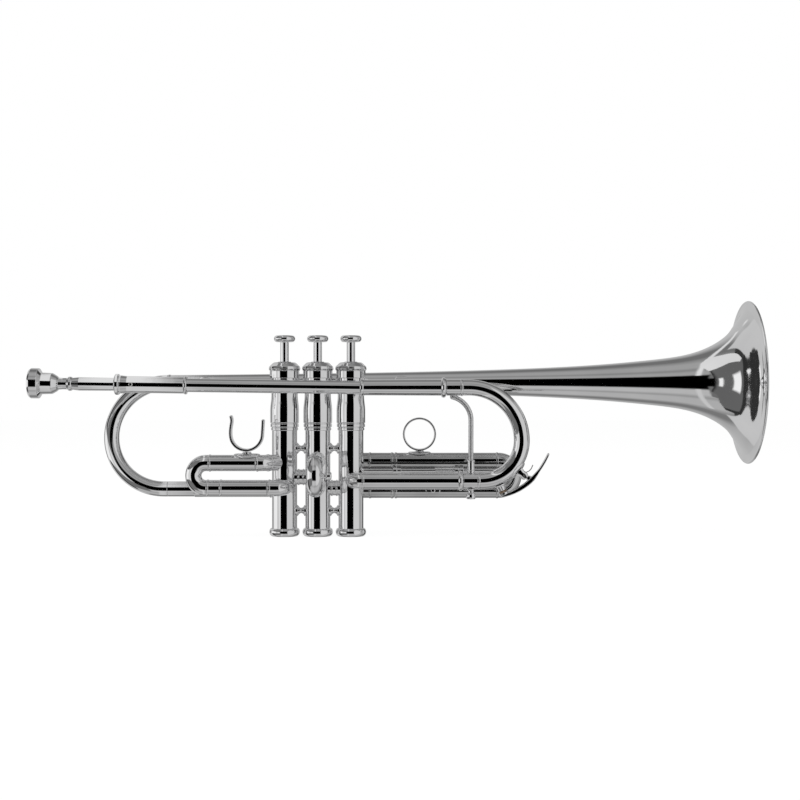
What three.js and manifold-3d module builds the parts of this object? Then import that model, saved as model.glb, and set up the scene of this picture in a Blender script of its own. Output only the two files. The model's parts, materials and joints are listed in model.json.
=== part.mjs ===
// A B-flat trumpet with three piston valves, as an assembly of separate pieces.
//
// Units are millimetres. +X runs forward to the bell, +Y away from the slides of the first and
// second valves, and +Z up. The origin is the middle of the underside of the second valve's
// bottom cap, on which the instrument's upright valves stand.
import * as THREE from 'three';
import { mergeVertices } from 'three/addons/utils/BufferGeometryUtils.js';
import Module from 'manifold-3d';

const wasm = await Module();
wasm.setup();

// ---- Driving dimensions -------------------------------------------------------------------

// How finely round things are drawn.
const TUBE_SIDES = 12;
const VALVE_SIDES = 16;
const PORT_SIDES = 8;
const BELL_SIDES = 26;
const ARC_STEP = THREE.MathUtils.degToRad(22.5);

// Clearances.
const RUNNING = 0.3; // between a sliding piece and the bore it runs in
const SEAT = 0.3; // between a tube's end and the wall that it is brazed to
const SEAM = 0.2; // between two pieces that meet end to end

// Tubing: outside radii and walls.
const LEADPIPE_R = 4.95;
const LEADPIPE_WALL = 0.6;
const INNER_R = 5.05; // inner tube of every slide
const INNER_WALL = 0.55;
const SLEEVE_WALL = 0.6; // outer tube of every slide
const BAND_WALL = 1.5; // raised band on the mouth of a main outer tube
const BAND_LENGTH = 3.7;
const PORT_R = 4.3; // windway holes in casings and pistons

// Valves.
const CASING_BORE_R = 8.45;
const CASING_WALL = 0.9;
const CASING_FLOOR_GAP = 0.4; // between a casing's foot and the floor of its bottom cap
const CASING_TOP_GAP = 0.7; // between a casing's top and the plate of its top cap
const JOINT_RISE = 1.8; // from a raised piston's top to the joint of lower and upper casing
const JOINT_HEIGHT = 4.8;
const JOINT_STEP = 1.15;
const GUIDE_LEDGE = 0.75; // step in the bore that the valve guide sits on
const UPPER_WALL = 0.6;
const BELLY_STEP = 0.9; // how far the upper casing swells above its joint
const BELLY_HEIGHT = 9.2;
const BELLY_TAPER = 12.2;
const STROKE = 14.5;
const PISTON_LENGTH = 54;
const PISTON_FLOOR_ROOM = 5.5; // left under a piston that is pressed right down
const PISTON_WALL = 0.8;
const PISTON_HEAD = 1.2;
const BARREL_R = 6.6; // spring barrel on top of the piston
const BARREL_WALL = 0.9;
const GUIDE_WIDTH = 4.2;
const GUIDE_THICKNESS = 1.6;
const SPRING_WIRE_R = 0.45;
const SPRING_TURNS = 6;

// Caps, stems and buttons.
const BOTTOM_CAP_WALL = 1.65;
const BOTTOM_CAP_HEIGHT = 5.9;
const BOTTOM_CAP_FLOOR = 2;
const TOP_CAP_WALL = 0.75;
const TOP_CAP_Z = 116.8;
const TOP_CAP_HEIGHT = 11.8;
const TOP_CAP_PLATE = 2.6;
const TOP_RING_HEIGHT = 5.2;
const TOP_RING_STEP = 0.9;
const TOP_RING_CHAMFER = 0.8;
const BOTTOM_CAP_CHAMFER = 0.6;
const CAP_GAP = 1.1; // between the rings of neighbouring top caps
const STEM_R = 3.15;
const STEM_DISC_HEIGHT = 2.8;
const STEM_PLUG_DEPTH = 2; // the screwed end that goes down into the barrel
const STEM_ROOM = 4.5; // between the stem's disc and the cap's plate, for the felt
const BUTTON_R = 7.9;
const BUTTON_HEIGHT = 4.8;
const BUTTON_EDGE = 1.2; // how far the button's rim is bevelled
const BUTTON_DISH = 0.9;
const BUTTON_FOOT = 1; // how far the button's underside is flat round the stem
const BUTTON_REST = 0.7; // between a pressed button and its cap

// Bell and its bow.
const BELL_AXIS_Z = 114;
const BELL_CAP_GAP = 0.345; // between the bell and the top cap of the third valve
const BELL_RIM_X = 323.9;
const BELL_RIM_R = 60.4;
const BELL_BEAD_R = 0.8;
const BELL_WALL = 0.9;
const BELL_FLARE_LENGTH = 15; // the shift in the bell's flare law
const BELL_FLARE_POWER = 0.7;
const BELL_SEAM_DISTANCE = 152; // from the rim back to the seam of the flare and the stem
const BELL_BACK_X = -114; // where the bow begins
const BOW_TUBE_R = 5.65;
const TAIL_Z = 34.8;
const TAIL_STEP = 0.35; // how much thicker the bow's straight tail is
const TAIL_STEP_DISTANCE = 2;

// Leadpipe and main tuning slide.
const LEADPIPE_CASING_GAP = 1.25; // between the main slide's outer tube and a casing
const LEADPIPE_TILT = THREE.MathUtils.degToRad(0.75);
const MAIN_UPPER_Z = 109.9;
const MAIN_LOWER_Z = 41.8;
const MAIN_LOWER_Y = -14.6;
const MAIN_TUBE_START_X = 31.8;
const MAIN_UPPER_END_X = 94.6;
const MAIN_LOWER_END_X = 107.1;
const MAIN_FERRULE_LENGTH = 12.4;
const CROOK_UPPER_X = 111.3; // where the upper bend of the crook begins
const CROOK_UPPER_R = 38.7;
const MAIN_INNER_LENGTH = 53;
const STAY_R = 1.8; // the rod between the crook's two legs
const STAY_FOOT_OFFSET = 5.7; // from the lower band to the rod's foot
const STAY_BEND_WIDTH = 16.5;
const STAY_BEND_HEIGHT = 19;
const STAY_COLLAR_R = 2.75;
const STAY_COLLAR_HEIGHT = 8.8;
const KNOB_NECK_R = 1.9;
const KNOB_NECK_LENGTH = 2.3;
const KNOB_R = 3.25;
const KNOB_LENGTH = 6;
const KNOB_ROOT = 0.5; // how far a knob is let into the ferrule it stands on
const RECEIVER_LENGTH = 52.5;
const RECEIVER_MOUTH_DISTANCE = 178.7; // from the front end of the leadpipe
const RECEIVER_R = 6.1;
const RECEIVER_MOUTH_R = 7.6;
const RIM_DISTANCE = 241.3; // mouthpiece rim, from the front end of the leadpipe
const SHANK_INSERTION = 22;
const SHANK_ROOM = 4; // between the shank's end and the leadpipe
const SHANK_TAPER = 0.45;
const LEADPIPE_ENTRY = 6; // how far the leadpipe reaches into the main slide's outer tube
const LEADPIPE_FIT = 0.4; // round the leadpipe in that tube

// Valve slides.
const FIRST_SLIDE_Y = -14.5;
const FIRST_UPPER_Z = 54.7;
const FIRST_LOWER_Z = 36.4;
const FIRST_UPPER_REACH = 19.9; // from the first valve's axis to the mouth of its upper fixed tube
const FIRST_LOWER_REACH = 11.4;
const FIRST_LOOP_LENGTH = 36.5; // from that upper mouth to the bow
const FIRST_BOW_ROOM = 5; // between an inner tube's end and the bow
const SECOND_UPPER_Z = 56.4;
const SECOND_LOWER_Z = 37;
const SECOND_MOUTH_Y = -24;
const SECOND_START_GAP = 1; // between the second slide's inner tubes and the casing
const SECOND_BOW_Y = -33.5;
const SIDE_KNOB_NECK_R = 1.6; // pull knob on the second slide's bow
const SIDE_KNOB_NECK_LENGTH = 3;
const SIDE_KNOB_R = 2.9;
const SIDE_KNOB_LENGTH = 4.5;
const SIDE_KNOB_ROOT = 1.2;
const THIRD_SLIDE_Y = 14.5;
const THIRD_UPPER_Z = 55.2;
const THIRD_LOWER_Z = 33.1;
const THIRD_REACH = 31.9; // from the third valve's axis to the mouths of its fixed tubes
const THIRD_LOOP_LENGTH = 78.9;
const THIRD_INNER_LENGTH = 61.5;
const ELBOW_R = 6.6;
const ELBOW_LEAD = 2; // straight run before the lower main tube's elbow
const MAIN_LOWER_INSET = 2; // from a valve's axis across to its tube, where they aren't in line
const THIRD_INSET = 1.5;
const FIRST_INSET = 5;
const DIAGONAL_ELBOW_R = 14; // elbow of the first slide's upper tube, which leaves at an angle
const DIAGONAL_ANGLE = Math.PI / 4;

// Hand pieces.
const HOOK_OFFSET = 7.2; // from the upper mouth of the first slide
const HOOK_WIDTH = 25.2;
const HOOK_HEIGHT = 27;
const HOOK_BAND = 1.9;
const HOOK_DEPTH = 10;
const HOOK_ARM_STEP = 3; // how much shorter the front arm is
const RING_OFFSET = 19.1; // from the mouths of the third slide
const RING_R = 12.6;
const RING_BAND = 1.3;
const RING_DEPTH = 7;
const FOOT_HEIGHT = 1.6;
const FOOT_SINK = 0.5; // how far a hook or ring is let into its foot
const FOOT_WRAP = 0.28; // how far down its tube the hook's foot reaches, as a share of the radius

// Braces between the valves, and between the leadpipe and the bell.
const SPOOL_R = 3.5;
const SPOOL_NECK_R = 2.25;
const SPOOL_UPPER_Z = 65;
const SPOOL_LOWER_Z = 18.9;
const CROSSOVER_12_Z = 43.7;
const CROSSOVER_23_Z = 35.6;
const BELL_BRACE_R = 2.2;
const BELL_BRACE_PAD_R = 3.4;
const BELL_BRACE_PAD = 2.4;
const BELL_BRACE_BEVEL = 1.5;
const BELL_BRACE_REAR_X = -86;
const BELL_BRACE_FRONT_X = 62;

// Water key on the crook, placed by its angle round the crook's lower bend.
const NIPPLE_ANGLE = THREE.MathUtils.degToRad(-67);
const NIPPLE_R = 3.2;
const NIPPLE_BORE_R = 1.6;
const NIPPLE_HEIGHT = 4.2;
const NIPPLE_FOOT = 1.2; // height of the nipple's full width
const NIPPLE_TAPER = 0.7;
const KEY_PIVOT_ANGLE = THREE.MathUtils.degToRad(-39.5);
const KEY_PIVOT_HEIGHT = 4.4; // pivot above the crook's outside
const KEY_TOUCH_ANGLE = THREE.MathUtils.degToRad(-11);
const KEY_TOUCH_HEIGHT = 14.5; // finger touch above the crook's outside
const KEY_WIDTH = 5;
const KEY_PIN_R = 0.9;
const KEY_CORK_HEIGHT = 2;
const KEY_CORK_R = 2.9;
const KEY_WIRE_R = 0.35;
const KEY_COIL_R = 1.75;
const KEY_SPRING_SIDE = 0.2; // how far across the lever the spring's coil reaches

// ---- Sizes that follow from them ----------------------------------------------------------

const SLEEVE_BORE_R = INNER_R + RUNNING;
const SLEEVE_R = SLEEVE_BORE_R + SLEEVE_WALL;
const CASING_R = CASING_BORE_R + CASING_WALL;
const CASING_BOTTOM_Z = BOTTOM_CAP_FLOOR + CASING_FLOOR_GAP;
const CASING_CUT_R = CASING_R + SEAT;
const UPPER_BORE_R = CASING_BORE_R + GUIDE_LEDGE;
const UPPER_R = UPPER_BORE_R + UPPER_WALL;
const TOP_CAP_BORE_R = UPPER_R + SEAT;
const TOP_CAP_R = TOP_CAP_BORE_R + TOP_CAP_WALL;
const TOP_RING_R = TOP_CAP_R + TOP_RING_STEP;
const BOTTOM_CAP_BORE_R = CASING_R + SEAT;
const BOTTOM_CAP_R = BOTTOM_CAP_BORE_R + BOTTOM_CAP_WALL;
const VALVE_PITCH = 2 * Math.max(TOP_RING_R, BOTTOM_CAP_R) + CAP_GAP;
const VALVE_X = [-VALVE_PITCH, 0, VALVE_PITCH];
const PISTON_R = CASING_BORE_R - RUNNING;
const PISTON_BOTTOM_Z = BOTTOM_CAP_FLOOR + STROKE + PISTON_FLOOR_ROOM;
const PISTON_TOP_Z = PISTON_BOTTOM_Z + PISTON_LENGTH;
const JOINT_Z = PISTON_TOP_Z + JOINT_RISE;
const GUIDE_Z = JOINT_Z + JOINT_HEIGHT + SEAT;
const CAP_TOP_Z = TOP_CAP_Z + TOP_CAP_HEIGHT;
const CAP_UNDER_Z = CAP_TOP_Z - TOP_CAP_PLATE;
const CASING_TOP_Z = CAP_UNDER_Z - CASING_TOP_GAP;
const STEM_DISC_Z = CAP_UNDER_Z - STEM_ROOM - STEM_DISC_HEIGHT;
const BARREL_TOP_Z = STEM_DISC_Z - SEAM;
const BUTTON_Z = CAP_TOP_Z + STROKE + BUTTON_REST;
const LEADPIPE_Y = -(UPPER_R + SLEEVE_R + LEADPIPE_CASING_GAP);

const FIRST_X = VALVE_X[0];
const THIRD_X = VALVE_X[2];
const INNER_BORE_R = INNER_R - INNER_WALL;
const FIRST_UPPER_MOUTH_X = FIRST_X - FIRST_UPPER_REACH;
const FIRST_LOWER_MOUTH_X = FIRST_X - FIRST_LOWER_REACH;
const FIRST_BOW_X = FIRST_UPPER_MOUTH_X - FIRST_LOOP_LENGTH;
const HOOK_X = FIRST_UPPER_MOUTH_X - HOOK_OFFSET;
const THIRD_MOUTH_X = THIRD_X + THIRD_REACH;
const THIRD_BOW_X = THIRD_MOUTH_X + THIRD_LOOP_LENGTH;
const THIRD_INNER_END_X = THIRD_MOUTH_X + THIRD_INNER_LENGTH;
const RING_X = THIRD_MOUTH_X + RING_OFFSET;

/** The bell's outside radius at a distance behind its rim: a power law that opens to the rim. */
function bellRadius(distance) {
  const flare = BELL_RIM_R * ((distance + BELL_FLARE_LENGTH) / BELL_FLARE_LENGTH) ** -BELL_FLARE_POWER;
  return Math.max(flare, BOW_TUBE_R);
}

// The bell passes the third valve's top cap, which begins above the bell's axis.
const bellAtCapR = bellRadius(BELL_RIM_X - THIRD_X - TOP_CAP_R);
const capRise = THREE.MathUtils.clamp(TOP_CAP_Z - BELL_AXIS_Z, -bellAtCapR, bellAtCapR);
const bellAtCapHalf = capRise > 0 ? Math.sqrt(bellAtCapR ** 2 - capRise ** 2) : bellAtCapR;
const BELL_AXIS_Y = TOP_CAP_R + bellAtCapHalf + BELL_CAP_GAP;

const AXIS_X = new THREE.Vector3(1, 0, 0);
const AXIS_Y = new THREE.Vector3(0, 1, 0);
const AXIS_Z = new THREE.Vector3(0, 0, 1);

// ---- Materials ----------------------------------------------------------------------------

const FINISHES = {
  silver: { color: 0xd6d8da, metalness: 1, roughness: 0.16 },
  satinSilver: { color: 0xcfd1d3, metalness: 1, roughness: 0.26 },
  nickel: { color: 0xb9b7b2, metalness: 1, roughness: 0.22 },
  springSteel: { color: 0x8e8c88, metalness: 1, roughness: 0.35 },
  cork: { color: 0xb98a5c, metalness: 0, roughness: 0.9 },
  nylon: { color: 0xe8e6df, metalness: 0, roughness: 0.5 },
};

const trumpet = new THREE.Group();

function addPiece(name, geometry, finish = 'silver', position = new THREE.Vector3()) {
  const mesh = new THREE.Mesh(geometry, new THREE.MeshStandardMaterial(FINISHES[finish]));
  mesh.name = name;
  mesh.position.copy(position);
  trumpet.add(mesh);
}

// ---- Solids -------------------------------------------------------------------------------

function merged(geometry) {
  const bare = geometry.index ? geometry.toNonIndexed() : geometry.clone();
  bare.deleteAttribute('normal');
  bare.deleteAttribute('uv');
  return mergeVertices(bare, 1e-5);
}

function toSolid(geometry) {
  const shared = merged(geometry);
  return new wasm.Manifold(new wasm.Mesh({
    numProp: 3,
    vertProperties: new Float32Array(shared.attributes.position.array),
    triVerts: new Uint32Array(shared.index.array),
  }));
}

function toGeometry(solid) {
  const mesh = solid.getMesh();
  const geometry = new THREE.BufferGeometry();
  geometry.setAttribute('position', new THREE.BufferAttribute(mesh.vertProperties, 3));
  geometry.setIndex(new THREE.BufferAttribute(mesh.triVerts, 1));
  return geometry;
}

/** The first geometry with the others cut away. */
function cut(geometry, ...cutters) {
  return toGeometry(cutters.reduce((solid, cutter) => solid.subtract(toSolid(cutter)), toSolid(geometry)));
}

/** All the geometries joined; each overlaps the one before. */
function join(...parts) {
  return toGeometry(parts.map(toSolid).reduce((solid, part) => solid.add(part)));
}

/** A turned solid about +Z from [radius, height] points that run outward, up and back in. */
function turned(points, sides = VALVE_SIDES) {
  const profile = points.map(([r, z]) => new THREE.Vector2(r, z));
  return new THREE.LatheGeometry(profile, sides).rotateX(Math.PI / 2);
}

/** A closed ring profile: the points of the outside, then those of the bore, going back down. */
function ring(outside, bore) {
  return [...outside, ...bore, outside[0]];
}

/** Turns a geometry made about +Z so that its axis runs along the given direction from a point. */
function aim(geometry, from, direction) {
  const turn = new THREE.Quaternion().setFromUnitVectors(AXIS_Z, direction.clone().normalize());
  return geometry.applyQuaternion(turn).translate(from.x, from.y, from.z);
}

/** A plain rod from one point to another, used for pins and as a cutter. */
function rod(from, to, radius, sides = TUBE_SIDES) {
  const along = to.clone().sub(from);
  const length = along.length();
  return aim(turned([[0, 0], [radius, 0], [radius, length], [0, length]], sides), from, along);
}

function point(x, y, z) {
  return new THREE.Vector3(x, y, z);
}

/** The cylinder round a valve casing that every tube and brace stops short of. */
function casingKeepOut(x) {
  return rod(point(x, 0, -CASING_R), point(x, 0, CASING_TOP_Z), CASING_CUT_R, VALVE_SIDES);
}

/** A windway hole from outside towards a valve's axis. */
function port(x, z, direction) {
  const axis = point(x, 0, z);
  const away = axis.clone().addScaledVector(direction, 2 * CASING_R);
  return rod(axis, away, PORT_R, PORT_SIDES);
}

// ---- Bent tubes ---------------------------------------------------------------------------

/**
 * A centre line in one plane, made of straight runs and arcs and measured by the distance
 * travelled. An arc turns towards `inward` when its angle is positive.
 */
class CentreLine {
  constructor(start, forward, inward) {
    this.binormal = new THREE.Vector3().crossVectors(inward, forward).normalize();
    this.runs = [];
    this.marks = [0];
    this.length = 0;
    this.end = { position: start.clone(), tangent: forward.clone().normalize() };
  }

  /** The in-plane normal for a tangent, on the side of a positive turn. */
  normalOf(tangent) {
    return new THREE.Vector3().crossVectors(tangent, this.binormal);
  }

  line(length) {
    const { position, tangent } = this.end;
    const at = (s) => ({ position: position.clone().addScaledVector(tangent, s), tangent });
    return this.add(length, at, [length]);
  }

  lineTo(coordinate, value) {
    const { position, tangent } = this.end;
    return this.line((value - position[coordinate]) / tangent[coordinate]);
  }

  arc(radius, angle) {
    const { position, tangent } = this.end;
    const side = Math.sign(angle);
    const centre = position.clone().addScaledVector(this.normalOf(tangent), side * radius);
    const at = (s) => {
      const turn = side * (s / radius);
      const spoke = position.clone().sub(centre).applyAxisAngle(this.binormal, -turn);
      const heading = tangent.clone().applyAxisAngle(this.binormal, -turn);
      return { position: centre.clone().add(spoke), tangent: heading };
    };
    const steps = Math.max(2, Math.round(Math.abs(angle) / ARC_STEP));
    const length = radius * Math.abs(angle);
    const stops = Array.from({ length: steps }, (_, i) => (length * (i + 1)) / steps);
    return this.add(length, at, stops);
  }

  add(length, at, stops) {
    this.runs.push({ from: this.length, at });
    stops.forEach((stop) => this.marks.push(this.length + stop));
    this.length += length;
    this.end = at(length);
    return this;
  }

  at(s) {
    const run = this.runs.findLast(({ from }) => s >= from - 1e-9) ?? this.runs[0];
    return run.at(s - run.from);
  }
}

/**
 * Points of one wall along a centre line. Each section is [end, radius] or
 * [end, first radius, last radius], and begins where the one before it ends.
 */
function wall(line, sections) {
  const points = [];
  let from = 0;
  for (const [to, first, last = first] of sections) {
    const inside = line.marks.filter((s) => s > from + 0.05 && s < to - 0.05);
    for (const s of [from, ...inside, to]) {
      points.push([first + ((last - first) * (s - from)) / (to - from), s]);
    }
    from = to;
  }
  return points;
}

/** A tube along a centre line, from the sections of its outside and of its bore. */
function tube(line, outside, bore, sides = TUBE_SIDES) {
  const profile = ring(wall(line, outside), wall(line, bore).reverse());
  const geometry = new THREE.LatheGeometry(profile.map(([r, s]) => new THREE.Vector2(r, s)), sides);
  const positions = geometry.attributes.position;
  const vertex = new THREE.Vector3();
  for (let i = 0; i < positions.count; i += 1) {
    vertex.fromBufferAttribute(positions, i);
    const { position, tangent } = line.at(vertex.y);
    const normal = line.normalOf(tangent);
    const placed = position
      .clone()
      .addScaledVector(normal, vertex.x)
      .addScaledVector(line.binormal, vertex.z);
    positions.setXYZ(i, placed.x, placed.y, placed.z);
  }
  return geometry;
}

// ---- Valves -------------------------------------------------------------------------------

/** Where each valve's windways leave it: height, direction, and whether they serve its slide. */
const sideways = (x, y) => new THREE.Vector3(x, y, 0).normalize();
const WINDWAYS = [
  [
    { z: FIRST_UPPER_Z, direction: sideways(-1, -1), slide: true },
    { z: FIRST_LOWER_Z, direction: sideways(0, -1), slide: true },
    { z: TAIL_Z, direction: sideways(-1, 0), slide: false },
    { z: CROSSOVER_12_Z, direction: sideways(1, 0), slide: false },
  ],
  [
    { z: SECOND_UPPER_Z, direction: sideways(0, -1), slide: true },
    { z: SECOND_LOWER_Z, direction: sideways(0, -1), slide: true },
    { z: CROSSOVER_12_Z, direction: sideways(-1, 0), slide: false },
    { z: CROSSOVER_23_Z, direction: sideways(1, 0), slide: false },
  ],
  [
    { z: THIRD_UPPER_Z, direction: sideways(0, 1), slide: true },
    { z: THIRD_LOWER_Z, direction: sideways(0, 1), slide: true },
    { z: CROSSOVER_23_Z, direction: sideways(-1, 0), slide: false },
    { z: MAIN_LOWER_Z, direction: sideways(0, -1), slide: false },
  ],
];

function casing(x, windways) {
  const jointTop = JOINT_Z + JOINT_HEIGHT;
  const bellyTop = jointTop + BELLY_HEIGHT;
  const outside = [
    [CASING_R, CASING_BOTTOM_Z],
    [CASING_R, JOINT_Z],
    [CASING_R + JOINT_STEP, JOINT_Z],
    [CASING_R + JOINT_STEP, jointTop],
    [UPPER_R + BELLY_STEP, jointTop],
    [UPPER_R + BELLY_STEP, bellyTop],
    [UPPER_R, bellyTop + BELLY_TAPER],
    [UPPER_R, CASING_TOP_Z],
  ];
  const bore = [
    [UPPER_BORE_R, CASING_TOP_Z],
    [UPPER_BORE_R, jointTop],
    [CASING_BORE_R, jointTop],
    [CASING_BORE_R, CASING_BOTTOM_Z],
  ];
  const body = turned(ring(outside, bore)).translate(x, 0, 0);
  return cut(body, ...windways.map(({ z, direction }) => port(x, z, direction)));
}

function piston(x, windways) {
  const body = turned([
    [0, PISTON_TOP_Z - PISTON_HEAD],
    [PISTON_R - PISTON_WALL, PISTON_TOP_Z - PISTON_HEAD],
    [PISTON_R - PISTON_WALL, PISTON_BOTTOM_Z],
    [PISTON_R, PISTON_BOTTOM_Z],
    [PISTON_R, PISTON_TOP_Z],
    [BARREL_R, PISTON_TOP_Z],
    [BARREL_R, BARREL_TOP_Z],
    [BARREL_R - BARREL_WALL, BARREL_TOP_Z],
    [BARREL_R - BARREL_WALL, PISTON_TOP_Z],
    [0, PISTON_TOP_Z],
  ]).translate(x, 0, 0);
  const slotTop = GUIDE_Z + GUIDE_THICKNESS + STROKE + RUNNING;
  const slotBottom = GUIDE_Z - RUNNING;
  const slot = new THREE.BoxGeometry(3 * BARREL_R, GUIDE_WIDTH + 2 * RUNNING, slotTop - slotBottom);
  slot.translate(x, 0, (slotTop + slotBottom) / 2);
  const holes = windways.map(({ z, direction, slide }) => port(x, z + (slide ? STROKE : 0), direction));
  return cut(body, slot, ...holes);
}

/** The guide: a round plate inside the spring barrel, with a wing out to the ledge each side. */
function valveGuide() {
  const wingHalf = Math.sqrt((UPPER_BORE_R - RUNNING) ** 2 - (GUIDE_WIDTH / 2) ** 2);
  const wings = new THREE.BoxGeometry(2 * wingHalf, GUIDE_WIDTH, GUIDE_THICKNESS);
  const plateR = BARREL_R - BARREL_WALL - RUNNING;
  const plate = turned([[0, 0], [plateR, 0], [plateR, GUIDE_THICKNESS], [0, GUIDE_THICKNESS]]);
  return join(wings.translate(0, 0, GUIDE_THICKNESS / 2), plate);
}

/** The return spring: a round wire that climbs from the guide to the foot of the stem. */
function valveSpring(height) {
  const climb = height - 2 * SPRING_WIRE_R;
  const coilR = BARREL_R - BARREL_WALL - 2 * RUNNING - SPRING_WIRE_R;
  class Helix extends THREE.Curve {
    getPoint(t, target = new THREE.Vector3()) {
      const angle = 2 * Math.PI * SPRING_TURNS * t;
      return target.set(coilR * Math.cos(angle), coilR * Math.sin(angle), SPRING_WIRE_R + climb * t);
    }
  }
  const section = new THREE.Shape();
  section.absarc(0, 0, SPRING_WIRE_R, 0, 2 * Math.PI);
  return new THREE.ExtrudeGeometry(section, {
    steps: SPRING_TURNS * 7,
    curveSegments: 2,
    extrudePath: new Helix(),
  });
}

function stem() {
  const plugR = BARREL_R - BARREL_WALL - RUNNING;
  return turned([
    [0, STEM_DISC_Z - STEM_PLUG_DEPTH],
    [plugR, STEM_DISC_Z - STEM_PLUG_DEPTH],
    [plugR, STEM_DISC_Z],
    [BARREL_R, STEM_DISC_Z],
    [BARREL_R, STEM_DISC_Z + STEM_DISC_HEIGHT],
    [STEM_R, STEM_DISC_Z + STEM_DISC_HEIGHT],
    [STEM_R, BUTTON_Z - SEAM],
    [0, BUTTON_Z - SEAM],
  ]);
}

function fingerButton() {
  const top = BUTTON_Z + BUTTON_HEIGHT;
  return turned([
    [0, BUTTON_Z],
    [STEM_R + BUTTON_FOOT, BUTTON_Z],
    [BUTTON_R - BUTTON_EDGE, BUTTON_Z + BUTTON_EDGE],
    [BUTTON_R, BUTTON_Z + BUTTON_HEIGHT / 2],
    [BUTTON_R - BUTTON_EDGE, top],
    [BUTTON_R - 2 * BUTTON_EDGE, top],
    [0, top - BUTTON_DISH],
  ]);
}

function topCap() {
  const ringZ = CAP_TOP_Z - TOP_RING_HEIGHT;
  const outside = [
    [TOP_CAP_R, TOP_CAP_Z],
    [TOP_CAP_R, ringZ],
    [TOP_RING_R, ringZ],
    [TOP_RING_R, CAP_TOP_Z - TOP_RING_CHAMFER],
    [TOP_RING_R - TOP_RING_CHAMFER, CAP_TOP_Z],
  ];
  const bore = [
    [STEM_R + RUNNING, CAP_TOP_Z],
    [STEM_R + RUNNING, CAP_UNDER_Z],
    [TOP_CAP_BORE_R, CAP_UNDER_Z],
    [TOP_CAP_BORE_R, TOP_CAP_Z],
  ];
  return turned(ring(outside, bore));
}

function bottomCap() {
  return turned([
    [0, 0],
    [BOTTOM_CAP_R - BOTTOM_CAP_CHAMFER, 0],
    [BOTTOM_CAP_R, BOTTOM_CAP_CHAMFER],
    [BOTTOM_CAP_R, BOTTOM_CAP_HEIGHT],
    [BOTTOM_CAP_BORE_R, BOTTOM_CAP_HEIGHT],
    [BOTTOM_CAP_BORE_R, BOTTOM_CAP_FLOOR],
    [0, BOTTOM_CAP_FLOOR],
  ]);
}

VALVE_X.forEach((x, index) => {
  const number = index + 1;
  const atValve = point(x, 0, 0);
  addPiece(`valve_casing_${number}`, casing(x, WINDWAYS[index]));
  addPiece(`top_cap_${number}`, topCap(), 'silver', atValve);
  addPiece(`bottom_cap_${number}`, bottomCap(), 'silver', atValve);
  addPiece(`piston_${number}`, piston(x, WINDWAYS[index]), 'nickel');
  addPiece(`valve_stem_${number}`, stem(), 'silver', atValve);
  addPiece(`finger_button_${number}`, fingerButton(), 'silver', atValve);
  addPiece(`valve_guide_${number}`, valveGuide(), 'nylon', point(x, 0, GUIDE_Z));

  const springBottomZ = GUIDE_Z + GUIDE_THICKNESS + SEAT;
  const springHeight = STEM_DISC_Z - STEM_PLUG_DEPTH - SEAT - springBottomZ;
  addPiece(`valve_spring_${number}`, valveSpring(springHeight), 'springSteel', point(x, 0, springBottomZ));
});

/** A tube or brace that runs along X between two neighbouring casings and fits their walls. */
function betweenCasings(first, points, z) {
  const span = [VALVE_X[first], VALVE_X[first + 1]];
  const lathed = aim(turned(points(VALVE_PITCH), TUBE_SIDES), point(span[0], 0, z), AXIS_X);
  return cut(lathed, ...span.map(casingKeepOut));
}

function spool(pitch) {
  const gap = pitch - 2 * CASING_R;
  const flange = gap * 0.2;
  return [
    [0, 0],
    [SPOOL_R, 0],
    [SPOOL_R, CASING_R + flange],
    [SPOOL_NECK_R, pitch / 2],
    [SPOOL_R, pitch - CASING_R - flange],
    [SPOOL_R, pitch],
    [0, pitch],
  ];
}

function crossover(pitch) {
  return ring([[SLEEVE_R, 0], [SLEEVE_R, pitch]], [[INNER_BORE_R, pitch], [INNER_BORE_R, 0]]);
}

[0, 1].forEach((first) => {
  const pair = `${first + 1}${first + 2}`;
  addPiece(`casing_brace_upper_${pair}`, betweenCasings(first, spool, SPOOL_UPPER_Z));
  addPiece(`casing_brace_lower_${pair}`, betweenCasings(first, spool, SPOOL_LOWER_Z));
});
addPiece('crossover_tube_12', betweenCasings(0, crossover, CROSSOVER_12_Z));
addPiece('crossover_tube_23', betweenCasings(1, crossover, CROSSOVER_23_Z));

// ---- Bell, bow and tail -------------------------------------------------------------------

const bellLength = BELL_RIM_X - BELL_BACK_X;
const bellStart = point(BELL_BACK_X, BELL_AXIS_Y, BELL_AXIS_Z);
const stemEnd = BELL_SEAM_DISTANCE + SEAM;

/**
 * The bell's wall moved outward by an offset, between two distances behind the rim, as
 * [radius, distance from the bow]. A larger crowding draws its stations closer to the rim.
 */
function bellWall(offset, far, near, stations, crowding) {
  return Array.from({ length: stations }, (_, i) => {
    const distance = near + (far - near) * (1 - i / (stations - 1)) ** crowding;
    return [bellRadius(distance) + offset, bellLength - distance];
  });
}

const flareWall = (offset) => bellWall(offset, BELL_SEAM_DISTANCE, 0, 11, 1.9);
const stemWall = (offset) => bellWall(offset, bellLength, stemEnd, 6, 1.2);

/** The space that the bell fills, with room for a brace's seat round it. */
function bellKeepOut() {
  const solid = turned([[0, 0], ...stemWall(SEAT), ...flareWall(SEAT), [0, bellLength]], BELL_SIDES);
  return aim(solid, bellStart, AXIS_X);
}

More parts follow.
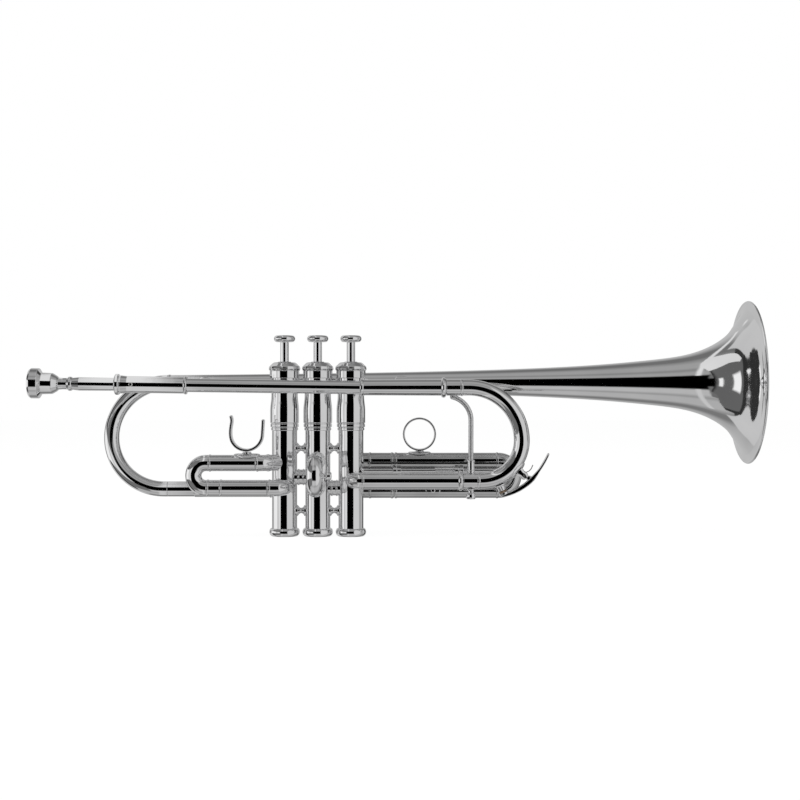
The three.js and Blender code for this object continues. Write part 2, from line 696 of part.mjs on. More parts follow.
/** The flare, whose rim is rolled back over a wire: a small bead behind a flat front edge. */
function bellFlare() {
  const outside = flareWall(0);
  const beadBack = bellLength - 2 * BELL_BEAD_R;
  const beadShoulderR = BELL_RIM_R + BELL_BEAD_R * 0.6;
  outside.splice(
    -1,
    1,
    [BELL_RIM_R - BELL_BEAD_R, beadBack - BELL_BEAD_R * 0.75],
    [beadShoulderR, beadBack],
    [BELL_RIM_R + BELL_BEAD_R, bellLength - BELL_BEAD_R],
    [beadShoulderR, bellLength],
  );
  return aim(turned(ring(outside, flareWall(-BELL_WALL).reverse()), BELL_SIDES), bellStart, AXIS_X);
}

function bellStem() {
  return aim(turned(ring(stemWall(0), stemWall(-BELL_WALL).reverse()), BELL_SIDES), bellStart, AXIS_X);
}

addPiece('bell_flare', bellFlare(), 'satinSilver');
addPiece('bell_stem', bellStem(), 'satinSilver');

const bowTop = point(BELL_BACK_X - SEAM, BELL_AXIS_Y, BELL_AXIS_Z);
const bowDown = point(0, -BELL_AXIS_Y, TAIL_Z - BELL_AXIS_Z);
const bowRadius = bowDown.length() / 2;
const bowLine = new CentreLine(bowTop, AXIS_X.clone().negate(), bowDown.clone().normalize())
  .arc(bowRadius, Math.PI)
  .lineTo('x', FIRST_X);
const tailStart = bowLine.length - (FIRST_X - BELL_BACK_X) + TAIL_STEP_DISTANCE;

addPiece('bell_bow', cut(
  tube(
    bowLine,
    [[tailStart, BOW_TUBE_R], [bowLine.length, BOW_TUBE_R + TAIL_STEP]],
    [[bowLine.length, BOW_TUBE_R - BELL_WALL]],
  ),
  casingKeepOut(FIRST_X),
));

// ---- Leadpipe, receiver and mouthpiece ----------------------------------------------------

// They share one axis, which rises slightly towards the player from the front of the leadpipe.
const leadpipeFront = point(MAIN_TUBE_START_X, LEADPIPE_Y, MAIN_UPPER_Z);
const towardsPlayer = point(-Math.cos(LEADPIPE_TILT), 0, Math.sin(LEADPIPE_TILT));
const alongLeadpipe = (distance) => leadpipeFront.clone().addScaledVector(towardsPlayer, distance);

const receiverEnd = RECEIVER_MOUTH_DISTANCE - RECEIVER_LENGTH;
const shankEnd = RECEIVER_MOUTH_DISTANCE - SHANK_INSERTION;
const leadpipeEnd = shankEnd - SHANK_ROOM;
const shankTipR = LEADPIPE_R - SHANK_TAPER;
const receiverBoreR = LEADPIPE_R + RUNNING;

addPiece('leadpipe', aim(
  turned(ring(
    [[LEADPIPE_R, -LEADPIPE_ENTRY], [LEADPIPE_R, leadpipeEnd]],
    [[LEADPIPE_R - LEADPIPE_WALL, leadpipeEnd], [LEADPIPE_R - LEADPIPE_WALL, -LEADPIPE_ENTRY]],
  ), TUBE_SIDES),
  leadpipeFront,
  towardsPlayer,
));

/** The receiver: a ring round its front end, a plain sleeve and a flared mouth with a lip. */
function receiver() {
  const ringR = RECEIVER_R + 0.5;
  const ringLength = 2.6;
  const ringBevel = 0.4;
  const flareR = RECEIVER_R + 0.2;
  const flareLength = 8;
  const throatLength = 5;
  const lipLength = 3.6;
  const fromMouth = (distance) => RECEIVER_MOUTH_DISTANCE - distance;
  const outside = [
    [ringR, receiverEnd],
    [ringR, receiverEnd + ringLength],
    [RECEIVER_R, receiverEnd + ringLength + ringBevel],
    [RECEIVER_R, fromMouth(flareLength)],
    [flareR, fromMouth(throatLength)],
    [RECEIVER_MOUTH_R, fromMouth(lipLength)],
    [RECEIVER_MOUTH_R, fromMouth(0)],
  ];
  const bore = [[receiverBoreR, fromMouth(0)], [receiverBoreR, receiverEnd]];
  return aim(turned(ring(outside, bore), TUBE_SIDES), leadpipeFront, towardsPlayer);
}

addPiece('mouthpiece_receiver', receiver());

/** The mouthpiece, turned to a profile of radius and distance from the rim. */
function mouthpiece() {
  const rimR = 11.1;
  const cupMouthR = 8.2;
  const cupR = 7.85;
  const cupDepth = 11;
  const throatR = 1.85;
  const shankWall = 0.9;
  const shankEntryR = LEADPIPE_R - 0.05;
  const fromRim = (distance) => RIM_DISTANCE - distance;
  const outside = [
    [shankTipR, shankEnd],
    [shankEntryR, fromRim(36)],
    [4.3, fromRim(31)],
    [5.1, fromRim(29.6)],
    [5.1, fromRim(28)],
    [4.2, fromRim(26)],
    [4.6, fromRim(21.5)],
    [6.6, fromRim(20.4)],
    [6.6, fromRim(18.8)],
    [7.3, fromRim(16.5)],
    [cupR, fromRim(13.5)],
    [cupR, fromRim(9)],
    [rimR, fromRim(7.4)],
    [rimR, fromRim(1.4)],
    [rimR - 1, fromRim(0)],
  ];
  const inside = [
    [cupMouthR + 0.9, fromRim(0)],
    [cupMouthR, fromRim(1.2)],
    [cupMouthR - 0.9, fromRim(4)],
    [cupMouthR - 3, fromRim(8)],
    [throatR + 0.6, fromRim(cupDepth)],
    [throatR, fromRim(cupDepth + 3)],
    [shankTipR - shankWall, shankEnd],
  ];
  return aim(turned(ring(outside, inside)), leadpipeFront, towardsPlayer);
}

addPiece('mouthpiece', mouthpiece());

// ---- Main tuning slide --------------------------------------------------------------------

/** A fixed outer tube with a raised band round its mouth, bored in steps from its other end. */
function bandedSleeve(line, entry = []) {
  return tube(
    line,
    [[line.length - BAND_LENGTH, SLEEVE_R], [line.length, SLEEVE_R + BAND_WALL]],
    [...entry, [line.length, SLEEVE_BORE_R]],
  );
}

addPiece('main_outer_tube_upper', bandedSleeve(
  new CentreLine(leadpipeFront, AXIS_X, AXIS_Z).lineTo('x', MAIN_UPPER_END_X),
  [[LEADPIPE_ENTRY + SEAM, LEADPIPE_R + LEADPIPE_FIT]],
));

const mainLowerStart = point(THIRD_X + MAIN_LOWER_INSET, MAIN_LOWER_Y + ELBOW_R + ELBOW_LEAD, MAIN_LOWER_Z);
addPiece('main_outer_tube_lower', cut(
  bandedSleeve(
    new CentreLine(mainLowerStart, AXIS_Y.clone().negate(), AXIS_X)
      .line(ELBOW_LEAD)
      .arc(ELBOW_R, Math.PI / 2)
      .lineTo('x', MAIN_LOWER_END_X),
  ),
  casingKeepOut(THIRD_X),
));

/** A small turned knob that a slide is pulled by, made about +Z from its foot. */
function pullKnob(neckR, headR, neckLength, headLength) {
  return turned([
    [0, 0],
    [neckR, 0],
    [neckR, neckLength],
    [headR, neckLength + headLength * 0.3],
    [headR, neckLength + headLength * 0.8],
    [headR * 0.7, neckLength + headLength],
    [0, neckLength + headLength],
  ], TUBE_SIDES);
}

/** A slide leg: inner tube that runs in its outer tube, and a ferrule that takes the bow. */
function slideLeg(bandEnd, y, z) {
  const start = point(bandEnd - MAIN_INNER_LENGTH, y, z);
  const line = new CentreLine(start, AXIS_X, AXIS_Z).lineTo('x', bandEnd + MAIN_FERRULE_LENGTH);
  const shoulder = MAIN_INNER_LENGTH + SEAM;
  return tube(line, [[shoulder, INNER_R], [line.length, SLEEVE_R]], [[line.length, INNER_BORE_R]]);
}

addPiece('main_slide_leg_upper', slideLeg(MAIN_UPPER_END_X, LEADPIPE_Y, MAIN_UPPER_Z));

// The lower leg carries a knob under its ferrule, below the foot of the stay.
const stayFootX = MAIN_LOWER_END_X + STAY_FOOT_OFFSET;
addPiece('main_slide_leg_lower', join(
  slideLeg(MAIN_LOWER_END_X, MAIN_LOWER_Y, MAIN_LOWER_Z),
  aim(
    pullKnob(KNOB_NECK_R, KNOB_R, KNOB_NECK_LENGTH + KNOB_ROOT, KNOB_LENGTH),
    point(stayFootX, MAIN_LOWER_Y, MAIN_LOWER_Z - SLEEVE_R + KNOB_ROOT),
    AXIS_Z.clone().negate(),
  ),
));

// The crook is two quarter bends of different radius in the plane of the two legs.
const crookStart = point(MAIN_UPPER_END_X + MAIN_FERRULE_LENGTH + SEAM, LEADPIPE_Y, MAIN_UPPER_Z);
const crookDown = point(0, MAIN_LOWER_Y - LEADPIPE_Y, MAIN_LOWER_Z - MAIN_UPPER_Z);
const crookDrop = crookDown.length();
crookDown.normalize();
const crookLowerR = crookDrop - CROOK_UPPER_R;
const crookLine = new CentreLine(crookStart, AXIS_X, crookDown)
  .lineTo('x', CROOK_UPPER_X)
  .arc(CROOK_UPPER_R, Math.PI / 2)
  .arc(crookLowerR, Math.PI / 2);
const crookLowerX = crookLine.end.position.x;
crookLine.lineTo('x', MAIN_LOWER_END_X + MAIN_FERRULE_LENGTH + SEAM);

const crookTube = tube(crookLine, [[crookLine.length, SLEEVE_R]], [[crookLine.length, INNER_BORE_R]]);

/** A point in the crook's plane, by angle from +X round the centre of its lower bend. */
const crookCentre = crookStart.clone().addScaledVector(crookDown, CROOK_UPPER_R);
crookCentre.x = crookLowerX;
function crookSpoke(angle) {
  return AXIS_X.clone().multiplyScalar(Math.cos(angle)).addScaledVector(crookDown, -Math.sin(angle));
}
function crookPoint(angle, distance) {
  return crookCentre.clone().addScaledVector(crookSpoke(angle), distance);
}
const crookOutside = crookLowerR + SLEEVE_R;

const drain = rod(
  crookPoint(NIPPLE_ANGLE, crookOutside - 2),
  crookPoint(NIPPLE_ANGLE, crookOutside + NIPPLE_HEIGHT + 1),
  NIPPLE_BORE_R,
);
addPiece('main_slide_bow', cut(crookTube, drain));

/** A stay that leaves the upper ferrule, curves down and ends in a collar on the lower one. */
function mainSlideStay() {
  const headX = stayFootX - STAY_BEND_WIDTH;
  const headZ = MAIN_UPPER_Z - SLEEVE_R - SEAT - STAY_R;
  const footZ = MAIN_LOWER_Z + SLEEVE_R + SEAT;
  const down = point(0, crookDown.y, crookDown.z);
  const head = point(headX, LEADPIPE_Y, headZ);
  const knee = head.clone().addScaledVector(down, STAY_BEND_HEIGHT).setX(stayFootX);
  const foot = knee.clone().addScaledVector(down, (knee.z - footZ) / -down.z);
  const bend = new THREE.QuadraticBezierCurve3(head, head.clone().setX(stayFootX), knee);
  const route = new THREE.CatmullRomCurve3([...bend.getPoints(8), foot.clone().lerp(knee, 0.5), foot]);
  const section = new THREE.Shape();
  section.absarc(0, 0, STAY_R, 0, 2 * Math.PI);
  const stay = new THREE.ExtrudeGeometry(section, { steps: 18, curveSegments: 5, extrudePath: route });
  return join(stay, rod(foot, foot.clone().addScaledVector(down, -STAY_COLLAR_HEIGHT), STAY_COLLAR_R));
}

addPiece('main_slide_brace', mainSlideStay());

// ---- Water key ----------------------------------------------------------------------------

// It is drawn in the crook's plane, where u runs along +X and v upwards, and given its width
// square to that plane. Its pivot pin stands in two ears on the saddle.

/** Moves a geometry drawn in (u, v, width) about the crook's lower centre into place. */
function inCrookPlane(geometry) {
  const up = crookDown.clone().negate();
  const basis = new THREE.Matrix4().makeBasis(AXIS_X, up, new THREE.Vector3().crossVectors(AXIS_X, up));
  return geometry.applyMatrix4(basis).translate(crookCentre.x, crookCentre.y, crookCentre.z);
}

function plate(shape, width, curveSegments = 6) {
  const geometry = new THREE.ExtrudeGeometry(shape, { depth: width, bevelEnabled: false, curveSegments });
  return geometry.translate(0, 0, -width / 2);
}

const pivotDistance = crookOutside + KEY_PIVOT_HEIGHT;
const onSpoke = (angle, distance) => (
  new THREE.Vector2(distance * Math.cos(angle), distance * Math.sin(angle))
);
const pivotUV = onSpoke(KEY_PIVOT_ANGLE, pivotDistance);
const touchUV = onSpoke(KEY_TOUCH_ANGLE, crookOutside + KEY_TOUCH_HEIGHT);

const earThickness = 1.2;
const earInnerHalf = KEY_WIDTH / 2 + RUNNING;

/** The saddle: a curved foot on the crook, two ears with the pin between, and the nipple. */
function waterKeySaddle() {
  const footR = crookOutside + SEAT;
  const footThickness = 1;
  const halfAngle = 0.12;
  const earR = 2;
  const earFootR = footR + 0.4;
  const foot = new THREE.Shape();
  foot.absarc(0, 0, footR + footThickness, KEY_PIVOT_ANGLE - halfAngle, KEY_PIVOT_ANGLE + halfAngle);
  foot.absarc(0, 0, footR, KEY_PIVOT_ANGLE + halfAngle, KEY_PIVOT_ANGLE - halfAngle, true);
  const saddleWidth = 2 * (earInnerHalf + earThickness);
  const ear = new THREE.Shape();
  ear.moveTo(...onSpoke(KEY_PIVOT_ANGLE - halfAngle, earFootR));
  ear.absarc(pivotUV.x, pivotUV.y, earR, KEY_PIVOT_ANGLE - Math.PI / 2, KEY_PIVOT_ANGLE + Math.PI / 2);
  ear.lineTo(...onSpoke(KEY_PIVOT_ANGLE + halfAngle, earFootR));
  const ears = [-1, 1].map((side) => (
    plate(ear, earThickness).translate(0, 0, side * (earInnerHalf + earThickness / 2))
  ));
  const pin = rod(
    point(pivotUV.x, pivotUV.y, -saddleWidth / 2),
    point(pivotUV.x, pivotUV.y, saddleWidth / 2),
    KEY_PIN_R,
    8,
  );
  return inCrookPlane(join(plate(foot, saddleWidth), ...ears, pin));
}

addPiece('water_key_saddle', waterKeySaddle());

const nippleBase = crookPoint(NIPPLE_ANGLE, crookOutside + SEAT);
addPiece('water_key_nipple', aim(
  turned(ring(
    [[NIPPLE_R, 0], [NIPPLE_R, NIPPLE_FOOT], [NIPPLE_R - NIPPLE_TAPER, NIPPLE_HEIGHT]],
    [[NIPPLE_BORE_R, NIPPLE_HEIGHT], [NIPPLE_BORE_R, 0]],
  ), TUBE_SIDES),
  nippleBase,
  crookSpoke(NIPPLE_ANGLE),
));

/** The key's lever, edge on: over the nipple, past the pivot and out to its finger touch. */
function waterKeyLever() {
  const cupHalfAngle = 0.1;
  const corkTop = crookOutside + SEAT + NIPPLE_HEIGHT + SEAM + KEY_CORK_HEIGHT;
  const cupDistance = (corkTop + SEAM) / Math.cos(cupHalfAngle);
  const cupThickness = 1.6;
  const under = cupDistance + cupThickness;
  const bar = [
    onSpoke(NIPPLE_ANGLE - cupHalfAngle, cupDistance),
    onSpoke(NIPPLE_ANGLE + cupHalfAngle, cupDistance),
    pivotUV.clone().multiplyScalar(1 - 1.9 / pivotDistance).add(new THREE.Vector2(-0.6, -1.1)),
    pivotUV.clone().add(new THREE.Vector2(1.4, 2.2)),
    touchUV,
    touchUV.clone().add(new THREE.Vector2(1.1, -0.2)),
    onSpoke(KEY_PIVOT_ANGLE + 0.02, pivotDistance + 3.4),
    onSpoke((NIPPLE_ANGLE + KEY_PIVOT_ANGLE) / 2, pivotDistance + 2.6),
    onSpoke(NIPPLE_ANGLE + cupHalfAngle, under),
    onSpoke(NIPPLE_ANGLE - cupHalfAngle, under),
  ];
  const lever = plate(new THREE.Shape(bar), KEY_WIDTH);
  const bore = rod(
    point(pivotUV.x, pivotUV.y, -KEY_WIDTH),
    point(pivotUV.x, pivotUV.y, KEY_WIDTH),
    KEY_PIN_R + RUNNING,
    8,
  );
  const bossR = KEY_PIN_R + RUNNING + 1;
  const boss = rod(
    point(pivotUV.x, pivotUV.y, -KEY_WIDTH / 2),
    point(pivotUV.x, pivotUV.y, KEY_WIDTH / 2),
    bossR,
    10,
  );
  const pocket = rod(
    point(pivotUV.x, pivotUV.y, -KEY_WIDTH),
    point(pivotUV.x, pivotUV.y, KEY_SPRING_SIDE + SEAT),
    KEY_COIL_R + KEY_WIRE_R + SEAT,
    10,
  );
  return inCrookPlane(cut(join(lever, boss), bore, pocket));
}

/** The key's spring: a short coil round the pin, with a leg that lies along the finger touch. */
function waterKeySpring() {
  const turns = 2.25;
  const perTurn = 8;
  const coilFrom = -KEY_WIDTH / 2 + KEY_WIRE_R;
  const coilTo = KEY_SPRING_SIDE - KEY_WIRE_R;
  const startAngle = Math.PI;
  const points = Array.from({ length: turns * perTurn + 1 }, (_, i) => {
    const angle = startAngle - (2 * Math.PI * i) / perTurn;
    const across = coilFrom + ((coilTo - coilFrom) * i) / (turns * perTurn);
    return point(pivotUV.x + KEY_COIL_R * Math.cos(angle), pivotUV.y + KEY_COIL_R * Math.sin(angle), across);
  });
  const legDirection = touchUV.clone().sub(pivotUV).normalize();
  const legSide = new THREE.Vector2(-legDirection.y, legDirection.x);
  [0.3, 0.6].forEach((share) => {
    const along = pivotUV.clone().lerp(touchUV, share).addScaledVector(legSide, KEY_COIL_R + KEY_WIRE_R);
    points.push(point(along.x, along.y, coilTo));
  });
  const section = new THREE.Shape();
  section.absarc(0, 0, KEY_WIRE_R, 0, 2 * Math.PI);
  const route = new THREE.CatmullRomCurve3(points);
  const sweep = { steps: 40, curveSegments: 2, extrudePath: route };
  return inCrookPlane(new THREE.ExtrudeGeometry(section, sweep));
}

addPiece('water_key_lever', waterKeyLever());
addPiece('water_key_spring', waterKeySpring(), 'springSteel');

addPiece('water_key_cork', aim(
  turned([[0, 0], [KEY_CORK_R, 0], [KEY_CORK_R, KEY_CORK_HEIGHT], [0, KEY_CORK_HEIGHT]], TUBE_SIDES),
  crookPoint(NIPPLE_ANGLE, crookOutside + SEAT + NIPPLE_HEIGHT + SEAM),
  crookSpoke(NIPPLE_ANGLE),
), 'cork');

// ---- First valve slide --------------------------------------------------------------------

/** A fixed slide tube from a casing: a full-size elbow up to its mouth, then the inner tube. */
function fixedSlideTube(line, mouth, valveX) {
  const outside = [[mouth, SLEEVE_R], [line.length, INNER_R]];
  return cut(tube(line, outside, [[line.length, INNER_BORE_R]]), casingKeepOut(valveX));
}

const firstInnerEndX = FIRST_BOW_X + FIRST_BOW_ROOM;

const upperElbowY = FIRST_SLIDE_Y + DIAGONAL_ELBOW_R * (1 - Math.cos(DIAGONAL_ANGLE));
const firstUpperStart = point(FIRST_X - FIRST_INSET, -FIRST_INSET, FIRST_UPPER_Z);
const firstUpperLine = new CentreLine(firstUpperStart, point(-1, -1, 0), point(-1, 1, 0))
  .line((firstUpperStart.y - upperElbowY) * Math.SQRT2)
  .arc(DIAGONAL_ELBOW_R, DIAGONAL_ANGLE);
const firstUpperElbowX = firstUpperLine.end.position.x;
const firstUpperMouthX = Math.min(FIRST_UPPER_MOUTH_X, firstUpperElbowX);
const firstUpperMouth = firstUpperLine.length + firstUpperElbowX - firstUpperMouthX;
firstUpperLine.lineTo('x', firstInnerEndX);
addPiece('first_slide_inner_upper', fixedSlideTube(firstUpperLine, firstUpperMouth, FIRST_X));

const firstLowerStart = point(FIRST_X, FIRST_SLIDE_Y + ELBOW_R, FIRST_LOWER_Z);
const firstLowerLine = new CentreLine(firstLowerStart, AXIS_Y.clone().negate(), AXIS_X.clone().negate())
  .arc(ELBOW_R, Math.PI / 2);
const firstLowerMouth = firstLowerLine.length + firstLowerLine.end.position.x - FIRST_LOWER_MOUTH_X;
firstLowerLine.lineTo('x', firstInnerEndX);
addPiece('first_slide_inner_lower', fixedSlideTube(firstLowerLine, firstLowerMouth, FIRST_X));

/** A loop of two outer sleeves and the bow that joins them. */
function slideLoop(line, firstStep, lastStep) {
  return tube(
    line,
    [[line.length, SLEEVE_R]],
    [[firstStep, SLEEVE_BORE_R], [lastStep, INNER_BORE_R], [line.length, SLEEVE_BORE_R]],
  );
}

const firstBowR = (FIRST_UPPER_Z - FIRST_LOWER_Z) / 2;
const firstLoopStart = point(firstUpperMouthX - SEAM, FIRST_SLIDE_Y, FIRST_UPPER_Z);
const firstLoopLine = new CentreLine(firstLoopStart, AXIS_X.clone().negate(), AXIS_Z.clone().negate())
  .lineTo('x', FIRST_BOW_X)
  .arc(firstBowR, Math.PI)
  .lineTo('x', FIRST_LOWER_MOUTH_X - SEAM);
addPiece('first_slide_loop', slideLoop(
  firstLoopLine,
  firstLoopStart.x - firstInnerEndX + SEAT,
  firstLoopLine.length - (FIRST_LOWER_MOUTH_X - SEAM - firstInnerEndX) - SEAT,
));

/** The thumb hook: an open U of flat strip on a foot that is saddled on the upper sleeve. */
function thumbHook() {
  const footLength = 17;
  const footWidth = 8;
  const topZ = FIRST_UPPER_Z + SLEEVE_R;
  const bottomR = HOOK_WIDTH / 2;
  const innerR = bottomR - HOOK_BAND;
  const leftTop = HOOK_HEIGHT - bottomR;
  const rightTop = leftTop - HOOK_ARM_STEP;
  const u = new THREE.Shape();
  u.moveTo(-bottomR, leftTop);
  u.lineTo(-bottomR, 0);
  u.absarc(0, 0, bottomR, Math.PI, 2 * Math.PI);
  u.lineTo(bottomR, rightTop);
  u.lineTo(innerR, rightTop);
  u.lineTo(innerR, 0);
  u.absarc(0, 0, innerR, 0, -Math.PI, true);
  u.lineTo(-innerR, leftTop);
  const strip = plate(u, HOOK_DEPTH, 10).rotateX(Math.PI / 2);
  const foot = new THREE.BoxGeometry(footLength, footWidth, SLEEVE_R + FOOT_HEIGHT);
  foot.translate(0, 0, topZ + SEAT + FOOT_HEIGHT - (SLEEVE_R + FOOT_HEIGHT) / 2);
  const bottomZ = topZ + SEAT + FOOT_HEIGHT - FOOT_SINK + bottomR;
  const joined = join(
    strip.translate(HOOK_X, FIRST_SLIDE_Y, bottomZ),
    foot.translate(HOOK_X, FIRST_SLIDE_Y, 0),
  );
  const sleeve = rod(
    point(HOOK_X - footLength, FIRST_SLIDE_Y, FIRST_UPPER_Z),
    point(HOOK_X + footLength, FIRST_SLIDE_Y, FIRST_UPPER_Z),
    SLEEVE_R + SEAT,
  );
  const below = new THREE.BoxGeometry(2 * footLength, 4 * footWidth, 2 * SLEEVE_R);
  below.translate(HOOK_X, FIRST_SLIDE_Y, FIRST_UPPER_Z - SLEEVE_R * FOOT_WRAP);
  return cut(joined, sleeve, below);
}

addPiece('thumb_hook', thumbHook());

// ---- Second valve slide -------------------------------------------------------------------

function secondOuterTube(z) {
  const from = point(0, -CASING_R / 2, z);
  const line = new CentreLine(from, AXIS_Y.clone().negate(), AXIS_X).lineTo('y', SECOND_MOUTH_Y);
  const sleeve = tube(line, [[line.length, SLEEVE_R]], [[line.length, SLEEVE_BORE_R]]);
  return cut(sleeve, casingKeepOut(0));
}

addPiece('second_slide_outer_upper', secondOuterTube(SECOND_UPPER_Z));
addPiece('second_slide_outer_lower', secondOuterTube(SECOND_LOWER_Z));

const secondBowR = (SECOND_UPPER_Z - SECOND_LOWER_Z) / 2;
const secondMiddleZ = (SECOND_UPPER_Z + SECOND_LOWER_Z) / 2;

/** The second slide: two inner tubes and a bow in one loop, with a pull knob on its side. */
function secondSlideLoop() {
  const startY = -CASING_CUT_R - SECOND_START_GAP;
  const start = point(0, startY, SECOND_UPPER_Z);
  const line = new CentreLine(start, AXIS_Y.clone().negate(), AXIS_Z.clone().negate())
    .lineTo('y', SECOND_BOW_Y)
    .arc(secondBowR, Math.PI)
    .lineTo('y', startY);
  const shoulder = startY - SECOND_MOUTH_Y + SEAM;
  const loop = tube(
    line,
    [[shoulder, INNER_R], [line.length - shoulder, SLEEVE_R], [line.length, INNER_R]],
    [[line.length, INNER_BORE_R]],
  );
  const crownY = SECOND_BOW_Y - secondBowR;
  const knobStart = point(SLEEVE_R - SIDE_KNOB_ROOT, crownY, secondMiddleZ);
  const knob = pullKnob(SIDE_KNOB_NECK_R, SIDE_KNOB_R, SIDE_KNOB_NECK_LENGTH, SIDE_KNOB_LENGTH);
  return join(loop, aim(knob, knobStart, AXIS_X));
}

addPiece('second_slide_loop', secondSlideLoop());

// ---- Third valve slide --------------------------------------------------------------------

function thirdInnerTube(z) {
  const start = point(THIRD_X + THIRD_INSET, THIRD_SLIDE_Y - ELBOW_R, z);
  const line = new CentreLine(start, AXIS_Y, AXIS_X).arc(ELBOW_R, Math.PI / 2);
  const mouth = line.length + THIRD_MOUTH_X - line.end.position.x;
  return fixedSlideTube(line.lineTo('x', THIRD_INNER_END_X), mouth, THIRD_X);
}

addPiece('third_slide_inner_upper', thirdInnerTube(THIRD_UPPER_Z));
addPiece('third_slide_inner_lower', thirdInnerTube(THIRD_LOWER_Z));

const thirdBowR = (THIRD_UPPER_Z - THIRD_LOWER_Z) / 2;
const thirdLoopStart = point(THIRD_MOUTH_X + SEAM, THIRD_SLIDE_Y, THIRD_UPPER_Z);
const thirdLoopLine = new CentreLine(thirdLoopStart, AXIS_X, AXIS_Z.clone().negate())
  .lineTo('x', THIRD_BOW_X)
  .arc(thirdBowR, Math.PI)
  .lineTo('x', THIRD_MOUTH_X + SEAM);
const thirdSleeveLength = THIRD_INNER_END_X + SEAT - thirdLoopStart.x;
addPiece('third_slide_loop', slideLoop(
  thirdLoopLine,
  thirdSleeveLength,
  thirdLoopLine.length - thirdSleeveLength,
));

/** The finger ring: a band on a flared foot that is saddled on the upper sleeve. */
function fingerRing() {
  const topZ = THIRD_UPPER_Z + SLEEVE_R;
  const footLength = 17;
  const footWidth = 5;
  const band = turned(ring(
    [[RING_R, -RING_DEPTH / 2], [RING_R, RING_DEPTH / 2]],
    [[RING_R - RING_BAND, RING_DEPTH / 2], [RING_R - RING_BAND, -RING_DEPTH / 2]],
  ), 20).rotateX(Math.PI / 2);
  const bottomZ = topZ + SEAT + FOOT_HEIGHT - FOOT_SINK;
  const foot = new THREE.BoxGeometry(footLength, footWidth, 2 * FOOT_HEIGHT);
  foot.translate(0, 0, topZ + SEAT);
  const joined = join(
    band.translate(RING_X, THIRD_SLIDE_Y, bottomZ + RING_R),
    foot.translate(RING_X, THIRD_SLIDE_Y, 0),
  );
  const sleeve = rod(
    point(RING_X - footLength, THIRD_SLIDE_Y, THIRD_UPPER_Z),
    point(RING_X + footLength, THIRD_SLIDE_Y, THIRD_UPPER_Z),
    SLEEVE_R + SEAT,
  );
  return cut(joined, sleeve);
}

addPiece('finger_ring', fingerRing());

// ---- Braces between the leadpipe and the bell ---------------------------------------------

/** A turned brace that spans from a tube's wall to the bell's, with a pad at each end. */
function bellBrace(x, start, startR) {
  const end = point(x, BELL_AXIS_Y, BELL_AXIS_Z);
  const direction = end.clone().sub(start);
  const length = direction.length();
  const endR = bellRadius(BELL_RIM_X - x);
  const body = aim(turned([
    [0, 0],
    [BELL_BRACE_PAD_R, 0],
    [BELL_BRACE_PAD_R, startR + BELL_BRACE_PAD],
    [BELL_BRACE_R, startR + BELL_BRACE_PAD + BELL_BRACE_BEVEL],
    [BELL_BRACE_R, length - endR - BELL_BRACE_PAD - BELL_BRACE_BEVEL],
    [BELL_BRACE_PAD_R, length - endR - BELL_BRACE_PAD],
    [BELL_BRACE_PAD_R, length],
    [0, length],
  ], TUBE_SIDES), start, direction);
  const reach = 3 * BELL_BRACE_PAD_R;
  const startTube = rod(
    point(x - reach, start.y, start.z),
    point(x + reach, start.y, start.z),
    startR + SEAT,
  );
  return cut(body, startTube, bellKeepOut());
}

const rearBraceStart = alongLeadpipe((leadpipeFront.x - BELL_BRACE_REAR_X) / Math.cos(LEADPIPE_TILT));
addPiece('bell_brace_rear', bellBrace(BELL_BRACE_REAR_X, rearBraceStart, LEADPIPE_R));
addPiece('bell_brace_front', bellBrace(
  BELL_BRACE_FRONT_X,
  point(BELL_BRACE_FRONT_X, LEADPIPE_Y, MAIN_UPPER_Z),
  SLEEVE_R,
));

export default trumpet;
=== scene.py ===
"""A silver-plated B-flat trumpet with piston valves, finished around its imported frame.

Shapes are worked out in millimetres in the frame's own axes: X forward to the bell, Y away from
the leadpipe's side and Z up. They become metres when a surface is made into a mesh.
"""

import json

import bpy
import numpy as np
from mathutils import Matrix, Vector

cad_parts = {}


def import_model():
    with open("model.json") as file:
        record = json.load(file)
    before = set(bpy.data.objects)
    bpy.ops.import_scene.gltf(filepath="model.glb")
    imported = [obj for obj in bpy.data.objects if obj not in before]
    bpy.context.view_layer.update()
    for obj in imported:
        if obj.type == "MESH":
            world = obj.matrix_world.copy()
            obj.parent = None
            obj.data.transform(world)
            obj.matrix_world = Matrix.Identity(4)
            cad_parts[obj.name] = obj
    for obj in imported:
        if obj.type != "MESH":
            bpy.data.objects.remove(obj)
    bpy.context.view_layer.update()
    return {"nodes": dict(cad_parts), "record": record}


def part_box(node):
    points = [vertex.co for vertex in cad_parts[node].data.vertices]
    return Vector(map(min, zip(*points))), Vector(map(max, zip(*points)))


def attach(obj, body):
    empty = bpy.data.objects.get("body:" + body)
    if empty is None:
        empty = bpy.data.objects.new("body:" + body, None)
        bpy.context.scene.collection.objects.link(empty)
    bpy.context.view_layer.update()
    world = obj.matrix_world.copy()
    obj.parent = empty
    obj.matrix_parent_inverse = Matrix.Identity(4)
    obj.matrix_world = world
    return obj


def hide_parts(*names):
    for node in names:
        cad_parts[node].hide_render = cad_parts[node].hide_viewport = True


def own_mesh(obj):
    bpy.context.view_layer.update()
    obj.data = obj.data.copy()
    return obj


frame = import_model()

MM = 0.001
X, Y, Z = np.eye(3)

# ---- Sizes --------------------------------------------------------------------------------

